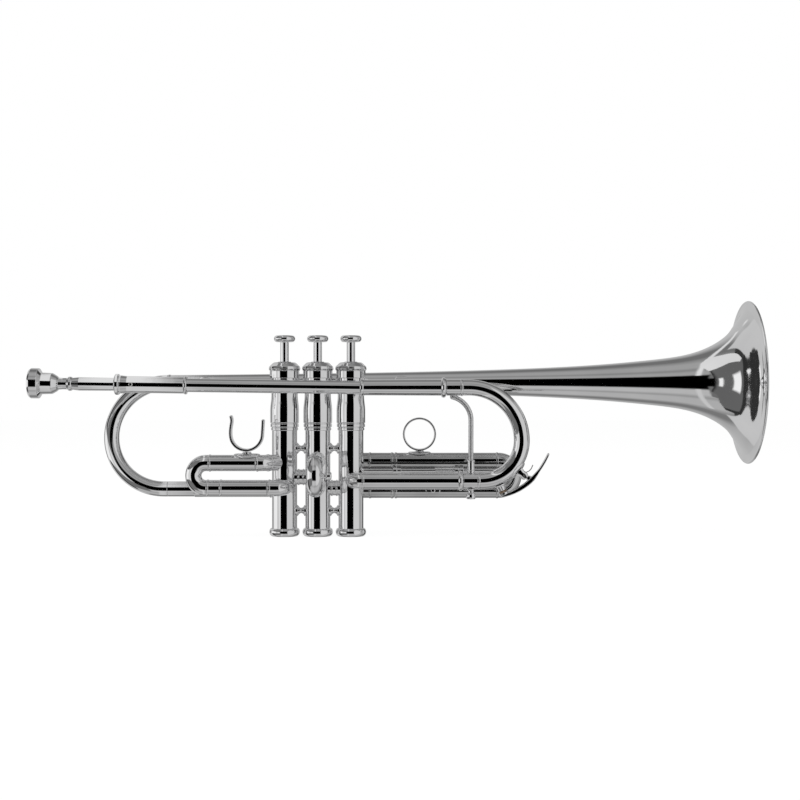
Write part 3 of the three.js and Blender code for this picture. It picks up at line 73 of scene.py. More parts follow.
TUBE_SIDES = 72
VALVE_SIDES = 128
BELL_SIDES = 192
BEND_STEP = np.radians(3)
SHARP_EDGE = np.radians(38)
EDGE = 0.2  # how far an ordinary edge is rounded
ARC_STATIONS = 5
ARC_SHARE = 0.4  # the most of a flat beside a corner that the corner's arc may take
SLIGHT_TURN = 0.02  # half a turn, in radians, under which a corner is left as it is
HOLD = 0.2  # how far outside its arc a corner holds the flats, as a share of the arc's setback
STATION_GAP = 0.05  # the least distance between a bend's station and a profile's corner

# Tubing.
SLEEVE_BORE_R = 5.35  # outer tubes of the slides
INNER_R = 5.05  # inner tubes of the slides
BORE_R = 4.5
BEAD_HEIGHT = 0.4
BEAD_WIDTH = 1.7
SEAM_DEPTH = 0.22
SEAM_WIDTH = 0.5
SLIDE_GAP = 0.2  # between a closed slide and the shoulder it comes up to
CUT_R = 8.6  # a tube's end is cut to this round, which lies inside its casing's wall
BRACE_CUT_R = 8.9  # the same for a brace
END_ROWS = 0.3  # how near to a tube's end the rows lie that the cut moves

# Valves.
CASING_R = 9.35
CASING_BORE_R = 8.45
UPPER_R = 9.8
UPPER_BORE_R = 9.2
LOWER_LENGTH = 75.4  # from a casing's foot to the joint of its lower and upper tubes
SPRING_TURNS = 7
SPRING_WIRE_R = 0.45
STEM_DISC_TOP = 4.8  # above the foot of the stem's plug
INLAY_R = 5.0
INLAY_DEPTH = 1.0

# Bell.
BELL_RIM_R = 60.4
BELL_WALL = 0.9
BELL_FLARE_LENGTH = 15
BELL_FLARE_POWER = 0.7
BELL_THROAT = (1.45, 42, 28)  # how much the throat is drawn in, where behind the rim, how widely
BELL_FILL = (1.4, 8, 4)  # the same for how the flare is filled out
RIM_WIRE_R = 1.0

# Crook of the main slide, and elbows where a tube turns out of a casing.
UPPER_BEND_R = 38.7
ELBOW_R = 6.0


def unit(vector):
    """A vector divided by its length."""
    return np.asarray(vector, float) / np.linalg.norm(vector)


def span(node):
    """The lowest and highest corner of a CAD node's box, in millimetres."""
    low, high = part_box(node)
    return np.array(low) / MM, np.array(high) / MM


def middle(node):
    """The middle of a CAD node's box, in millimetres."""
    low, high = span(node)
    return (low + high) / 2


BODY_OF = {
    node: body
    for body, nodes in frame["record"]["behaviour"]["bodies"].items()
    for node in nodes
}

# ---- Centre lines -------------------------------------------------------------------------


class Route:
    """A centre line in one plane, made of straight runs and round bends and measured by distance.

    On a run of curvature k, a distance d turns the heading by kd. The line goes forward by
    d sinc(kd) and aside by d sin(kd / 2) sinc(kd / 2), which also holds where k is zero.
    """

    def __init__(self, start, forward, inward=Z):
        self.across = unit(np.cross(inward, forward))
        self.begins = []
        self.curvatures = []
        self.starts = []
        self.headings = []
        self.marks = [0.0]
        self.length = 0.0
        self.end = np.asarray(start, float)
        self.heading = unit(forward)

    def run(self, length, curvature):
        """Goes on by a length at an even curvature."""
        self.begins.append(self.length)
        self.curvatures.append(curvature)
        self.starts.append(self.end)
        self.headings.append(self.heading)
        self.length += length
        centre, heading, _ = self.at(self.length)
        self.end = centre[0]
        self.heading = heading[0]
        return self

    def line(self, length):
        """A straight run."""
        self.marks.append(self.length + length)
        return self.run(length, 0.0)

    def line_to(self, axis, value):
        """A straight run that ends at a value along an axis."""
        return self.line((value - self.end @ axis) / (self.heading @ axis))

    def arc(self, radius, angle):
        """A bend towards the inward side, or away from it if the angle is negative."""
        length = radius * abs(angle)
        steps = max(2, round(abs(angle) / BEND_STEP))
        self.marks += list(self.length + length * np.arange(1, steps + 1) / steps)
        return self.run(length, np.sign(angle) / radius)

    def at(self, distance):
        """The centre, heading and inward side at each distance."""
        distance = np.atleast_1d(np.asarray(distance, float))
        number = np.searchsorted(self.begins, distance + 1e-9, side="right") - 1
        number = np.clip(number, 0, len(self.begins) - 1)
        gone = distance - np.array(self.begins)[number]
        turn = np.array(self.curvatures)[number] * gone
        ahead = np.array(self.headings)[number]
        inward = np.cross(ahead, self.across)
        forward = gone * np.sinc(turn / np.pi)
        aside = gone * np.sin(turn / 2) * np.sinc(turn / (2 * np.pi))
        centre = np.array(self.starts)[number] + forward[:, None] * ahead + aside[:, None] * inward
        heading = np.cos(turn)[:, None] * ahead + np.sin(turn)[:, None] * inward
        return centre, heading, np.cross(heading, self.across)


# ---- Profiles -----------------------------------------------------------------------------


def rounded(corners, closed=True):
    """Rounds each corner of a profile of (distance, radius) or (distance, radius, edge) rows.

    The arc from a to b round a corner c is (a(1-t)^2 + 2wct(1-t) + bt^2) over
    ((1-t)^2 + 2wt(1-t) + t^2), where w is the cosine of half the turn. A point just outside each
    end of the arc keeps the flats beside it flat.
    """
    points = np.array([corner[:2] for corner in corners], float)
    edges = [corner[2] if len(corner) > 2 else EDGE for corner in corners]
    t = np.linspace(0, 1, ARC_STATIONS)[:, None]
    out = []
    for i, (corner, edge) in enumerate(zip(points, edges)):
        if not edge or not closed and i in (0, len(points) - 1):
            out.append(corner[None])
            continue
        back = points[i - 1] - corner
        on = points[(i + 1) % len(points)] - corner
        reach = ARC_SHARE * min(np.linalg.norm(back), np.linalg.norm(on))
        back, on = unit(back), unit(on)
        half = np.arccos(np.clip(-back @ on, -1, 1)) / 2
        if half < SLIGHT_TURN:
            out.append(corner[None])
            continue
        setback = min(edge * np.tan(half), reach)
        a, b, w = corner + back * setback, corner + on * setback, np.cos(half)
        top = a * (1 - t) ** 2 + 2 * w * corner * t * (1 - t) + b * t**2
        arc = top / ((1 - t) ** 2 + 2 * w * t * (1 - t) + t**2)
        out.append(np.concatenate([[a + back * setback * HOLD], arc, [b + on * setback * HOLD]]))
    return np.concatenate(out)


def bead(at, radius, height=BEAD_HEIGHT, width=BEAD_WIDTH):
    """A half-round ring on a tube: its height follows the square root of 1 - x^2 across its width."""
    x = np.cos(np.linspace(np.pi, 0, 11))
    ring = np.column_stack([at + x * width / 2, radius + height * np.sqrt(1 - x**2)])
    return [(s, r, 0) for s, r in ring]


def seam(at, radius):
    """A fine groove where two tubes meet: straight in to its depth and out again, softened."""
    return [
        (at - SEAM_WIDTH / 2, radius, 0.12),
        (at, radius - SEAM_DEPTH, 0.05),
        (at + SEAM_WIDTH / 2, radius, 0.12),
    ]


def stationed(profile, marks, closed):
    """The profile with a station added wherever the route bends under it."""
    marks = np.array(sorted(marks))
    ends = np.roll(profile, -1, axis=0)
    rows = []
    for (s0, r0), (s1, r1) in zip(profile, ends if closed else ends[:-1]):
        low, high = min(s0, s1) + STATION_GAP, max(s0, s1) - STATION_GAP
        inner = marks[(marks > low) & (marks < high)]
        inner = inner if s1 > s0 else inner[::-1]
        radius = r0 + (r1 - r0) * (inner - s0) / (s1 - s0) if len(inner) else inner
        rows.append(np.column_stack([np.r_[s0, inner], np.r_[r0, radius]]))
    if not closed:
        rows.append(profile[-1:])
    return np.concatenate(rows)


# ---- Surfaces -----------------------------------------------------------------------------


def carried(profile, route, sides):
    """A round surface: the point at turn t of a row is its centre plus its radius times
    (cos t inward + sin t across)."""
    distance, radius = profile.T
    centre, _, side = route.at(distance)
    turn = np.linspace(0, 2 * np.pi, sides, endpoint=False)[None, :, None]
    spoke = np.cos(turn) * side[:, None, :] + np.sin(turn) * route.across
    return centre[:, None, :] + radius[:, None, None] * spoke


def strip(centre, side, across, thick, wide, squareness=2.0, sides=32):
    """A bar along a path: at turn t its section is half the thickness times cos t to the power
    2 / squareness along the side, and half the width times sin t to the same power across."""
    turn = np.linspace(0, 2 * np.pi, sides, endpoint=False)
    c, s = np.cos(turn), np.sin(turn)
    c = np.sign(c) * np.abs(c) ** (2 / squareness)
    s = np.sign(s) * np.abs(s) ** (2 / squareness)
    thick = np.broadcast_to(thick, len(centre))[:, None, None] / 2
    wide = np.broadcast_to(wide, len(centre))[:, None, None] / 2
    across = np.broadcast_to(across, centre.shape)
    return (
        centre[:, None, :]
        + thick * c[None, :, None] * side[:, None, :]
        + wide * s[None, :, None] * across[:, None, :]
    )


def end_rounding(distance, length, reach):
    """A bar's share of its full section, which closes at both ends as a quarter ellipse."""
    near = np.clip(np.minimum(distance, length - distance) / reach, 0, 1)
    return np.sqrt(np.clip(1 - (1 - near) ** 2, 0, 1))


def bar_stations(length, reach, step=1.0):
    """Distances along a bar, closely spaced by a cosine law where its ends are rounded."""
    ease = reach * (1 - np.cos(np.linspace(0, np.pi / 2, 7)))
    body = np.linspace(reach, length - reach, max(3, round(length / step)))
    return np.concatenate([ease[:-1], body, (length - ease[:-1])[::-1]])


def skin(name, grid, closed):
    """A mesh over rows of points that each run round a section.

    A closed grid's last row joins its first; an open one ends in two poles. The map's first
    coordinate is the share of the turn, and its second the distance along in metres.
    """
    rows, sides = grid.shape[:2]
    bands = rows if closed else rows - 1
    number = np.arange(rows * sides).reshape(rows, sides)
    if not closed:
        number[[0, -1]] = number[[0, -1], :1]
    low, high = number[:bands], np.roll(number, -1, axis=0)[:bands]
    corners = np.stack([low, high, np.roll(high, -1, 1), np.roll(low, -1, 1)], axis=-1)
    step = np.linalg.norm(np.roll(grid[:, 0], -1, axis=0) - grid[:, 0], axis=1)[:bands]
    along = np.concatenate([[0], np.cumsum(step)]) * MM
    column = np.arange(sides)
    u = np.stack([column, column, column + 1, column + 1], axis=-1) / sides
    v = np.stack([along[:-1], along[1:], along[1:], along[:-1]], axis=-1)
    chart = np.stack(
        [np.broadcast_to(u, (bands, sides, 4)), np.broadcast_to(v[:, None], (bands, sides, 4))],
        axis=-1,
    )
    if closed:
        loops, charts = corners.reshape(-1), chart.reshape(-1, 2)
        sizes = np.full(bands * sides, 4)
    else:
        first, last = [0, 1, 2], [0, 1, 3]
        loops = np.concatenate(
            [corners[0][:, first].ravel(), corners[1:-1].ravel(), corners[-1][:, last].ravel()]
        )
        charts = np.concatenate(
            [
                chart[0][:, first].reshape(-1, 2),
                chart[1:-1].reshape(-1, 2),
                chart[-1][:, last].reshape(-1, 2),
            ]
        )
        sizes = np.repeat([3, 4, 3], [sides, (bands - 2) * sides, sides])
    used, loops = np.unique(loops, return_inverse=True)
    mesh = bpy.data.meshes.new(name)
    mesh.vertices.add(len(used))
    mesh.vertices.foreach_set("co", (grid.reshape(-1, 3)[used] * MM).astype(np.float32).ravel())
    mesh.loops.add(len(loops))
    mesh.loops.foreach_set("vertex_index", loops.astype(np.int32))
    mesh.polygons.add(len(sizes))
    starts = np.concatenate([[0], np.cumsum(sizes)[:-1]])
    mesh.polygons.foreach_set("loop_start", starts.astype(np.int32))
    mesh.uv_layers.new(name="surface").uv.foreach_set("vector", charts.astype(np.float32).ravel())
    mesh.update(calc_edges=True)
    mesh.shade_smooth()
    mesh.set_sharp_from_angle(angle=SHARP_EDGE)
    return mesh


def cut_to_casing(grid, distance, at, heading, casing_x, radius):
    """Carries the rows at a tube's end on until they meet a casing's round.

    A point at q from the casing's axis moves along the heading h, which leads into the casing,
    by -q.h - sqrt((q.h)^2 - q.q + r^2).
    """
    end = np.abs(distance - at) < END_ROWS
    offset = (grid[end] - [casing_x, 0, 0]) * [1, 1, 0]
    along = offset @ heading
    move = -along - np.sqrt(along**2 - np.sum(offset**2, axis=-1) + radius**2)
    grid[end] += move[..., None] * heading


def tube(name, route, outside, bore, sides=TUBE_SIDES, casings=()):
    """A tube along a route. Its outside runs forward and its bore runs back.

    Each of the casings is the distance of the end that meets it and the x of its axis.
    """
    profile = stationed(rounded(list(outside) + list(bore)), route.marks, True)
    grid = carried(profile, route, sides)
    for at, casing_x in casings:
        heading = route.at(at)[1][0] * (1 if at > 0 else -1)
        cut_to_casing(grid, profile[:, 0], at, heading, casing_x, CUT_R)
    return skin(name, grid, True)


def turned(name, start, axis, corners, sides=TUBE_SIDES, closed=True):
    """A turned piece about an axis; an open profile begins and ends on it."""
    inward = Z if abs(unit(axis) @ Z) < 0.9 else X
    route = Route(start, axis, inward).line(1.0)
    return skin(name, carried(rounded(corners, closed), route, sides), closed)


def saddle(name, centre, axis, up, radius, half_length, half_angle, thickness, lobes=0.0):
    """A plate bent round a tube, thinned to an edge all round.

    A row at x of its half length reaches the angle half_angle times the square root of 1 - x^4,
    drawn in by lobes where it nears the ends. Its section is an ellipse bent round the tube.
    """
    x = np.sin(np.linspace(-np.pi / 2, np.pi / 2, 33))
    turn = np.linspace(0, 2 * np.pi, 48, endpoint=False)
    reach = half_angle * np.sqrt(np.clip(1 - x**4, 0, 1)) * (1 - lobes * x**2)
    swell = thickness * np.clip(1 - x**8, 0, 1) ** 0.5
    squared = np.sign(np.sin(turn)) * np.abs(np.sin(turn)) ** 0.5
    angle = reach[:, None] * squared
    sunk = 0.15
    height = radius - sunk + swell[:, None] * (1 + np.cos(turn)) / 2
    side = np.cross(axis, up)
    grid = (
        np.asarray(centre)
        + (x * half_length)[:, None, None] * np.asarray(axis)
        + (height * np.cos(angle))[:, :, None] * np.asarray(up)
        + (height * np.sin(angle))[:, :, None] * side
    )
    return skin(name, grid, False)


# ---- Finishes -----------------------------------------------------------------------------


def add_node(tree, kind, inputs=None, **settings):
    """A shader node whose sockets take a value, or are joined to another node's output."""
    made = tree.nodes.new("ShaderNode" + kind)
    for key, value in settings.items():
        setattr(made, key, value)
    for key, value in (inputs or {}).items():
        if isinstance(value, bpy.types.NodeSocket):
            tree.links.new(value, made.inputs[key])
        else:
            made.inputs[key].default_value = value
    return made


def blank_finish(name):
    """A new material, with its node tree and its shader."""
    material = bpy.data.materials.new(name)
    material.use_nodes = True
    tree = material.node_tree
    return material, tree, tree.nodes["Principled BSDF"]


def spread(tree, value, low, high):
    """A value between 0 and 1 spread over a range."""
    return add_node(tree, "MapRange", {"Value": value, "To Min": low, "To Max": high}).outputs[0]


def greys(tree, value, dark, light):
    """A colour that goes from dark to light as a value goes through its middle range."""
    ramp = add_node(tree, "ValToRGB", {"Fac": value})
    ramp.color_ramp.elements[0].position = 0.3
    ramp.color_ramp.elements[0].color = (*dark, 1)
    ramp.color_ramp.elements[1].position = 0.7
    ramp.color_ramp.elements[1].color = (*light, 1)
    return ramp.outputs["Color"]


def metal(name, dark, light, gloss, lines=0.0, line_scale=(300, 40, 1)):
    """Plated metal: broad clouds of tarnish, polishing marks that vary the gloss, and a slight
    hand-worked waviness. Lines are fine turning or drawing marks that follow the surface."""
    material, tree, shader = blank_finish(name)
    shader.inputs["Metallic"].default_value = 1.0
    place = add_node(tree, "TexCoord").outputs["Object"]
    clouds = add_node(tree, "TexNoise", {"Vector": place, "Scale": 35.0, "Detail": 4.0})
    marks = add_node(
        tree, "TexNoise", {"Vector": place, "Scale": 900.0, "Detail": 6.0, "Roughness": 0.7}
    )
    tree.links.new(greys(tree, clouds.outputs["Fac"], dark, light), shader.inputs["Base Color"])
    worn = add_node(
        tree, "Math", {0: clouds.outputs["Fac"], 1: marks.outputs["Fac"]}, operation="MULTIPLY"
    )
    gloss_value = spread(tree, worn.outputs[0], *gloss)
    waves = add_node(tree, "TexNoise", {"Vector": place, "Scale": 140.0, "Detail": 2.0})
    bump = add_node(
        tree, "Bump", {"Strength": 0.12, "Distance": 0.00012, "Height": waves.outputs["Fac"]}
    )
    normal = bump.outputs["Normal"]
    if lines:
        chart = add_node(tree, "UVMap", uv_map="surface").outputs["UV"]
        scaled = add_node(tree, "Mapping", {"Vector": chart, "Scale": line_scale})
        drawn = add_node(tree, "TexNoise", {"Vector": scaled.outputs[0], "Scale": 1.0, "Detail": 3.0})
        fine = add_node(
            tree,
            "Bump",
            {"Strength": lines, "Distance": 0.00002, "Height": drawn.outputs["Fac"], "Normal": normal},
        )
        normal = fine.outputs["Normal"]
    tree.links.new(gloss_value, shader.inputs["Roughness"])
    tree.links.new(normal, shader.inputs["Normal"])
    return material


def soft_finish(name, dark, light, scale, roughness, bump_depth, sheen=0.0, voronoi=False):
    """Cork, felt or nylon: grains of two shades with the same grain raised in the surface."""
    material, tree, shader = blank_finish(name)
    place = add_node(tree, "TexCoord").outputs["Object"]
    grain = add_node(tree, "TexNoise", {"Vector": place, "Scale": scale, "Detail": 5.0})
    height = grain.outputs["Fac"]
    if voronoi:
        cells = add_node(tree, "TexVoronoi", {"Vector": place, "Scale": scale})
        height = add_node(
            tree, "Math", {0: grain.outputs["Fac"], 1: cells.outputs["Distance"]}, operation="MULTIPLY"
        ).outputs[0]
    tree.links.new(greys(tree, height, dark, light), shader.inputs["Base Color"])
    bump = add_node(tree, "Bump", {"Strength": 0.5, "Distance": bump_depth, "Height": height})
    tree.links.new(bump.outputs["Normal"], shader.inputs["Normal"])
    tree.links.new(spread(tree, height, roughness - 0.08, roughness + 0.05), shader.inputs["Roughness"])
    shader.inputs["Sheen Weight"].default_value = sheen
    return material


def pearl_finish():
    """Mother-of-pearl: bands of faint pink and green that wander through milky white."""
    material, tree, shader = blank_finish("mother_of_pearl")
    place = add_node(tree, "TexCoord").outputs["Object"]
    drift = add_node(
        tree, "TexNoise", {"Vector": place, "Scale": 220.0, "Detail": 3.0, "Distortion": 1.4}
    )
    ramp = add_node(tree, "ValToRGB", {"Fac": drift.outputs["Fac"]})
    shades = ramp.color_ramp.elements
    shades[0].position = 0.3
    shades[0].color = (0.78, 0.84, 0.80, 1)
    shades[1].position = 0.7
    shades[1].color = (0.88, 0.79, 0.82, 1)
    shades.new(0.5).color = (0.92, 0.91, 0.88, 1)
    tree.links.new(ramp.outputs["Color"], shader.inputs["Base Color"])
    tree.links.new(spread(tree, drift.outputs["Fac"], 0.12, 0.28), shader.inputs["Roughness"])
    shader.inputs["Coat Weight"].default_value = 0.6
    shader.inputs["Coat Roughness"].default_value = 0.05
    return material


SILVER = ((0.86, 0.86, 0.865), (0.93, 0.93, 0.935))
TURNED_LINES = (6, 900, 1)  # fine along the piece and long round it
FINISHES = {
    "silver": metal("polished_silver", *SILVER, (0.03, 0.12), 0.15),
    "satin_silver": metal("spun_silver", *SILVER, (0.04, 0.13), 0.3, TURNED_LINES),
    "brushed_silver": metal("brushed_silver", *SILVER, (0.38, 0.52), 0.4, TURNED_LINES),
    # Silver for the rear slide, a little rougher, with its colour painted darker as painted shade,
    # since the rear slide lies in shade behind the other tubes; the plating is the same.
    "painted_shade_silver": metal("painted_shade_silver", (0.55, 0.55, 0.55), (0.72, 0.72, 0.72), (0.06, 0.16), 0.15),
    "nickel": metal("nickel_plate", (0.66, 0.65, 0.63), (0.74, 0.73, 0.71), (0.08, 0.24)),
    "spring_steel": metal("spring_steel", (0.42, 0.41, 0.40), (0.55, 0.54, 0.52), (0.2, 0.42)),
    "nylon": soft_finish(
        "white_nylon", (0.80, 0.79, 0.75), (0.90, 0.89, 0.86), 300, 0.45, 0.00003
    ),
    "cork": soft_finish(
        "cork_pad", (0.13, 0.09, 0.06), (0.34, 0.26, 0.19), 1500, 0.85, 0.0002, voronoi=True
    ),
    "felt": soft_finish(
        "valve_felt", (0.10, 0.10, 0.11), (0.24, 0.24, 0.25), 2500, 0.93, 0.0003, 0.5
    ),
    "pearl": pearl_finish(),
}


def piece(mesh, finish, body, *nodes):
    """Adds a finished piece that rides on a body and stands for these CAD nodes."""
    made = bpy.data.objects.new(mesh.name, mesh)
    bpy.context.scene.collection.objects.link(made)
    mesh.materials.append(FINISHES[finish])
    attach(made, body)
    if nodes:
        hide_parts(*nodes)
    return made


def stands_for(mesh, finish, *nodes):
    """Adds a piece in place of CAD nodes, on the body that they are part of."""
    return piece(mesh, finish, BODY_OF[nodes[0]], *nodes)


def refinish(node, finish):
    """Gives a CAD node that is kept its finish."""
    mesh = frame["nodes"][node].data
    mesh.materials.clear()
    mesh.materials.append(FINISHES[finish])


# ---- Valves -------------------------------------------------------------------------------

VALVES = (1, 2, 3)
VALVE_X = {n: middle(f"valve_casing_{n}")[0] for n in VALVES}


def axis_point(x, z):
    """A place on the plane of the valves' axes."""
    return np.array([x, 0.0, z])


def casing(n):
    """A lower tube, two joint rings, and an upper tube that swells above them. The swell eases
    back into the upper tube by half a cosine wave."""
    low, high = span(f"valve_casing_{n}")
    foot, top = low[2], high[2]
    belly_r = (high[0] - low[0]) / 2
    joint = foot + LOWER_LENGTH
    upper_foot = joint + 4.8
    belly_top = joint + 15
    taper = 11.5
    ring_r, groove_r = 10.05, 9.7
    collar_r, collar_groove_r = 10.5, 10.15
    t = np.linspace(0, 1, 25)
    eased = [
        (belly_top + taper * share, UPPER_R + (belly_r - UPPER_R) * (1 + np.cos(np.pi * share)) / 2, 0)
        for share in t
    ]
    outside = [
        (foot, CASING_R),
        (joint + 0.5, CASING_R, 0.1),
        (joint + 0.7, ring_r, 0.5),
        (joint + 2.3, ring_r, 0.5),
        (joint + 2.5, groove_r, 0.1),
        (joint + 2.9, groove_r, 0.1),
        (joint + 3.1, collar_r, 0.6),
        (joint + 5.1, collar_r, 0.6),
        (joint + 5.3, collar_groove_r, 0.1),
        (joint + 5.7, collar_groove_r, 0.1),
        (joint + 6.3, belly_r, 0.8),
        *eased,
        (top, UPPER_R),
    ]
    bore = [
        (top, UPPER_BORE_R),
        (upper_foot, UPPER_BORE_R),
        (upper_foot, CASING_BORE_R),
        (foot, CASING_BORE_R),
    ]
    profile = [(s - foot, r, *edge) for s, r, *edge in outside + bore]
    return turned(f"casing_{n}", axis_point(VALVE_X[n], foot), Z, profile, VALVE_SIDES)


def top_cap(n):
    """A plain skirt under a crown whose sides slope in to a small flat top, bored for the stem."""
    low, high = span(f"top_cap_{n}")
    height = high[2] - low[2]
    crown_r = (high[0] - low[0]) / 2
    skirt_r, skirt_bore_r, hole_r = 11.0, 10.1, 3.45
    plate = 2.6
    outside = [
        (0, skirt_r, 0.4),
        (height - 6.5, skirt_r, 0.1),
        (height - 6.3, skirt_r - 0.35, 0.2),
        (height - 5.8, crown_r - 0.45, 0.4),
        (height - 4.8, crown_r, 0.5),
        (height - 3.0, crown_r - 0.4, 1.0),
        (height - 0.6, 8.8, 0.8),
        (height, 7.9, 0.4),
        (height, hole_r, 0.3),
    ]
    inside = [(height - plate, hole_r), (height - plate, skirt_bore_r), (0, skirt_bore_r)]
    start = axis_point(VALVE_X[n], low[2])
    return turned(f"top_cap_{n}_turned", start, Z, outside + inside, VALVE_SIDES)


def bottom_cap(n):
    """A bellied cap with a vent in its underside. Its side bulges by a sine to the power 0.7."""
    low, high = span(f"bottom_cap_{n}")
    height = high[2] - low[2]
    widest = (high[0] - low[0]) / 2
    edge_r, bore_r, floor_top = 10.35, 9.6, 2.0
    t = np.linspace(0, 1, 17)
    side = [
        (0.7 + (height - 1.0) * share, edge_r + (widest - edge_r) * np.sin(np.pi * share) ** 0.7, 0)
        for share in t
    ]
    corners = [
        (1.0, 0),
        (1.0, 1.7),
        (0, 2.0, 0.3),
        (0, 9.5, 0.5),
        *side,
        (height, bore_r, 0.1),
        (floor_top, bore_r),
        (floor_top, 0),
    ]
    start = axis_point(VALVE_X[n], 0)
    return turned(f"bottom_cap_{n}_turned", start, Z, corners, VALVE_SIDES, closed=False)


def valve_stem(n):
    """The stem with the disc and plug that screw down on the piston's barrel."""
    low, high = span(f"valve_stem_{n}")
    disc_r = (high[0] - low[0]) / 2
    height = high[2] - low[2]
    stem_r, plug_r, plug_length = 3.15, 5.4, 2
    corners = [
        (0, 0),
        (0, plug_r),
        (plug_length, plug_r),
        (plug_length, disc_r),
        (STEM_DISC_TOP, disc_r, 0.4),
        (STEM_DISC_TOP, stem_r, 0.3),
        (height, stem_r),
        (height, 0),
    ]
    return turned(f"stem_{n}", axis_point(VALVE_X[n], low[2]), Z, corners, closed=False)


def button(n):
    """A button like a small cushion: its side is half an ellipse, and the top holds the inlay."""
    low, high = span(f"finger_button_{n}")
    height = high[2] - low[2]
    widest = (high[0] - low[0]) / 2
    side, bulge = height / 2, 2.2
    seat_r = INLAY_R + 0.05
    a = np.linspace(-np.pi / 2, np.pi / 2, 25)
    edge = [(side + side * np.sin(turn), widest - bulge + bulge * np.cos(turn), 0) for turn in a]
    corners = [
        (0, 0),
        (0, widest - 2.6, 0.1),
        *edge,
        (height, seat_r, 0.1),
        (height - INLAY_DEPTH, seat_r),
        (height - INLAY_DEPTH, 0),
    ]
    return turned(f"button_{n}", axis_point(VALVE_X[n], low[2]), Z, corners, closed=False)


def inlay(n):
    """A disc let into the button, whose face sinks with the square of the way in from its rim."""
    top = span(f"finger_button_{n}")[1][2]
    rise, dish = 0.85, 0.35
    rim = np.linspace(1, 0, 9)
    face = [(rise - dish * (1 - share**2), INLAY_R * share, 0) for share in rim]
    corners = [(0, 0), (0, INLAY_R, 0.1), *face]
    start = axis_point(VALVE_X[n], top - INLAY_DEPTH)
    return turned(f"button_inlay_{n}", start, Z, corners, closed=False)


def felt(name, n, z, inner, outer, thickness):
    """A felt washer, whose outer edges are rounded by 0.4 of its thickness."""
    edge = 0.4 * thickness
    corners = [(0, outer, edge), (thickness, outer, edge), (thickness, inner), (0, inner)]
    return turned(name, axis_point(VALVE_X[n], z), Z, corners)


def valve_spring(n):
    """The spring in the piston's barrel: a helix whose wire turns evenly, and rises evenly
    between an end turn at each end that lies nearly flat."""
    low, high = span(f"valve_spring_{n}")
    coil_r = (high[0] - low[0]) / 2 - SPRING_WIRE_R
    closed_turns = 0.8
    t = np.linspace(0, 1, 48 * SPRING_TURNS)
    turn = 2 * np.pi * SPRING_TURNS * t
    rise = np.clip((t * SPRING_TURNS - closed_turns) / (SPRING_TURNS - 2 * closed_turns), 0, 1)
    height = low[2] + SPRING_WIRE_R + (high[2] - low[2] - 2 * SPRING_WIRE_R) * rise
    out = np.column_stack([np.cos(turn), np.sin(turn), np.zeros(len(turn))])
    centre = axis_point(VALVE_X[n], 0) + coil_r * out + height[:, None] * Z
    size = 2 * SPRING_WIRE_R * end_rounding(t, 1.0, 0.002)
    return skin(f"piston_spring_{n}", strip(centre, out, Z, size, size, sides=12), False)


for n in VALVES:
    stands_for(casing(n), "silver", f"valve_casing_{n}")
    stands_for(top_cap(n), "silver", f"top_cap_{n}")
    stands_for(bottom_cap(n), "silver", f"bottom_cap_{n}")
    stands_for(valve_stem(n), "silver", f"valve_stem_{n}")
    stands_for(button(n), "silver", f"finger_button_{n}")
    piece(inlay(n), "pearl", f"valve_{n}")
    cap_top = span(f"top_cap_{n}")[1][2]
    stem_disc_top = span(f"valve_stem_{n}")[0][2] + STEM_DISC_TOP
    piece(felt(f"cap_felt_{n}", n, cap_top - 0.05, 3.5, 4.8, 0.6), "felt", "trumpet_body")
    piece(felt(f"stem_felt_{n}", n, stem_disc_top + 0.05, 3.25, 6.4, 2.6), "felt", f"valve_{n}")
    refinish(f"piston_{n}", "nickel")
    spring = stands_for(valve_spring(n), "spring_steel", f"valve_spring_{n}")
    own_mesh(spring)
    refinish(f"valve_guide_{n}", "nylon")


def between_casings(name, node, first, profile, cut_r, closed):
    """A turned tie between two neighbouring casings, along X, cut to their round at both ends."""
    start = axis_point(VALVE_X[first] + cut_r, middle(node)[2])
    length = VALVE_X[first + 1] - VALVE_X[first] - 2 * cut_r
    rows = rounded(profile(length), closed)
    grid = carried(rows, Route(start, X).line(length), TUBE_SIDES)
    cut_to_casing(grid, rows[:, 0], 0, -X, VALVE_X[first], cut_r)
    cut_to_casing(grid, rows[:, 0], length, X, VALVE_X[first + 1], cut_r)
    return skin(name, grid, closed)


def spool(length):
    """A waisted brace: its radius grows with the square of the distance from its middle."""
    end_r, waist_r, swell = 4.1, 2.0, 1.6
    t = np.linspace(-1, 1, 25)
    waist = [(length / 2 + (length / 2 - 1.3) * share, waist_r + swell * share**2, 0) for share in t]
    return [
        (0, 0),
        (0, end_r, 0.1),
        (1.0, end_r, 0.3),
        *waist,
        (length - 1.0, end_r, 0.3),
        (length, end_r, 0.1),
        (length, 0),
    ]


def crossover(length):
    """A straight windway tube with a half-round ring near each end."""
    tube_r, ring_setback = 5.6, 1.9
    rings = [bead(at, tube_r, 0.5, 1.4) for at in (ring_setback, length - ring_setback)]
    return [(0, tube_r), *rings[0], *rings[1], (length, tube_r), (length, BORE_R), (0, BORE_R)]


for first in (1, 2):
    pair = f"{first}{first + 1}"
    for level in ("upper", "lower"):
        brace = f"casing_brace_{level}_{pair}"
        tie = between_casings(f"spool_{level}_{pair}", brace, first, spool, BRACE_CUT_R, False)
        stands_for(tie, "silver", brace)
    windway = f"crossover_tube_{pair}"
    tie = between_casings(f"crossover_{pair}", windway, first, crossover, CUT_R, True)
    stands_for(tie, "silver", windway)

# ---- Bell ---------------------------------------------------------------------------------

flare_low, flare_high = span("bell_flare")
stem_low, stem_high = span("bell_stem")
BELL_AXIS = (flare_low + flare_high) / 2
BELL_RIM_X = flare_high[0]
BELL_BACK_X = stem_low[0]
BELL_SEAM_X = (stem_high[0] + flare_low[0]) / 2
BOW_R = 5.65


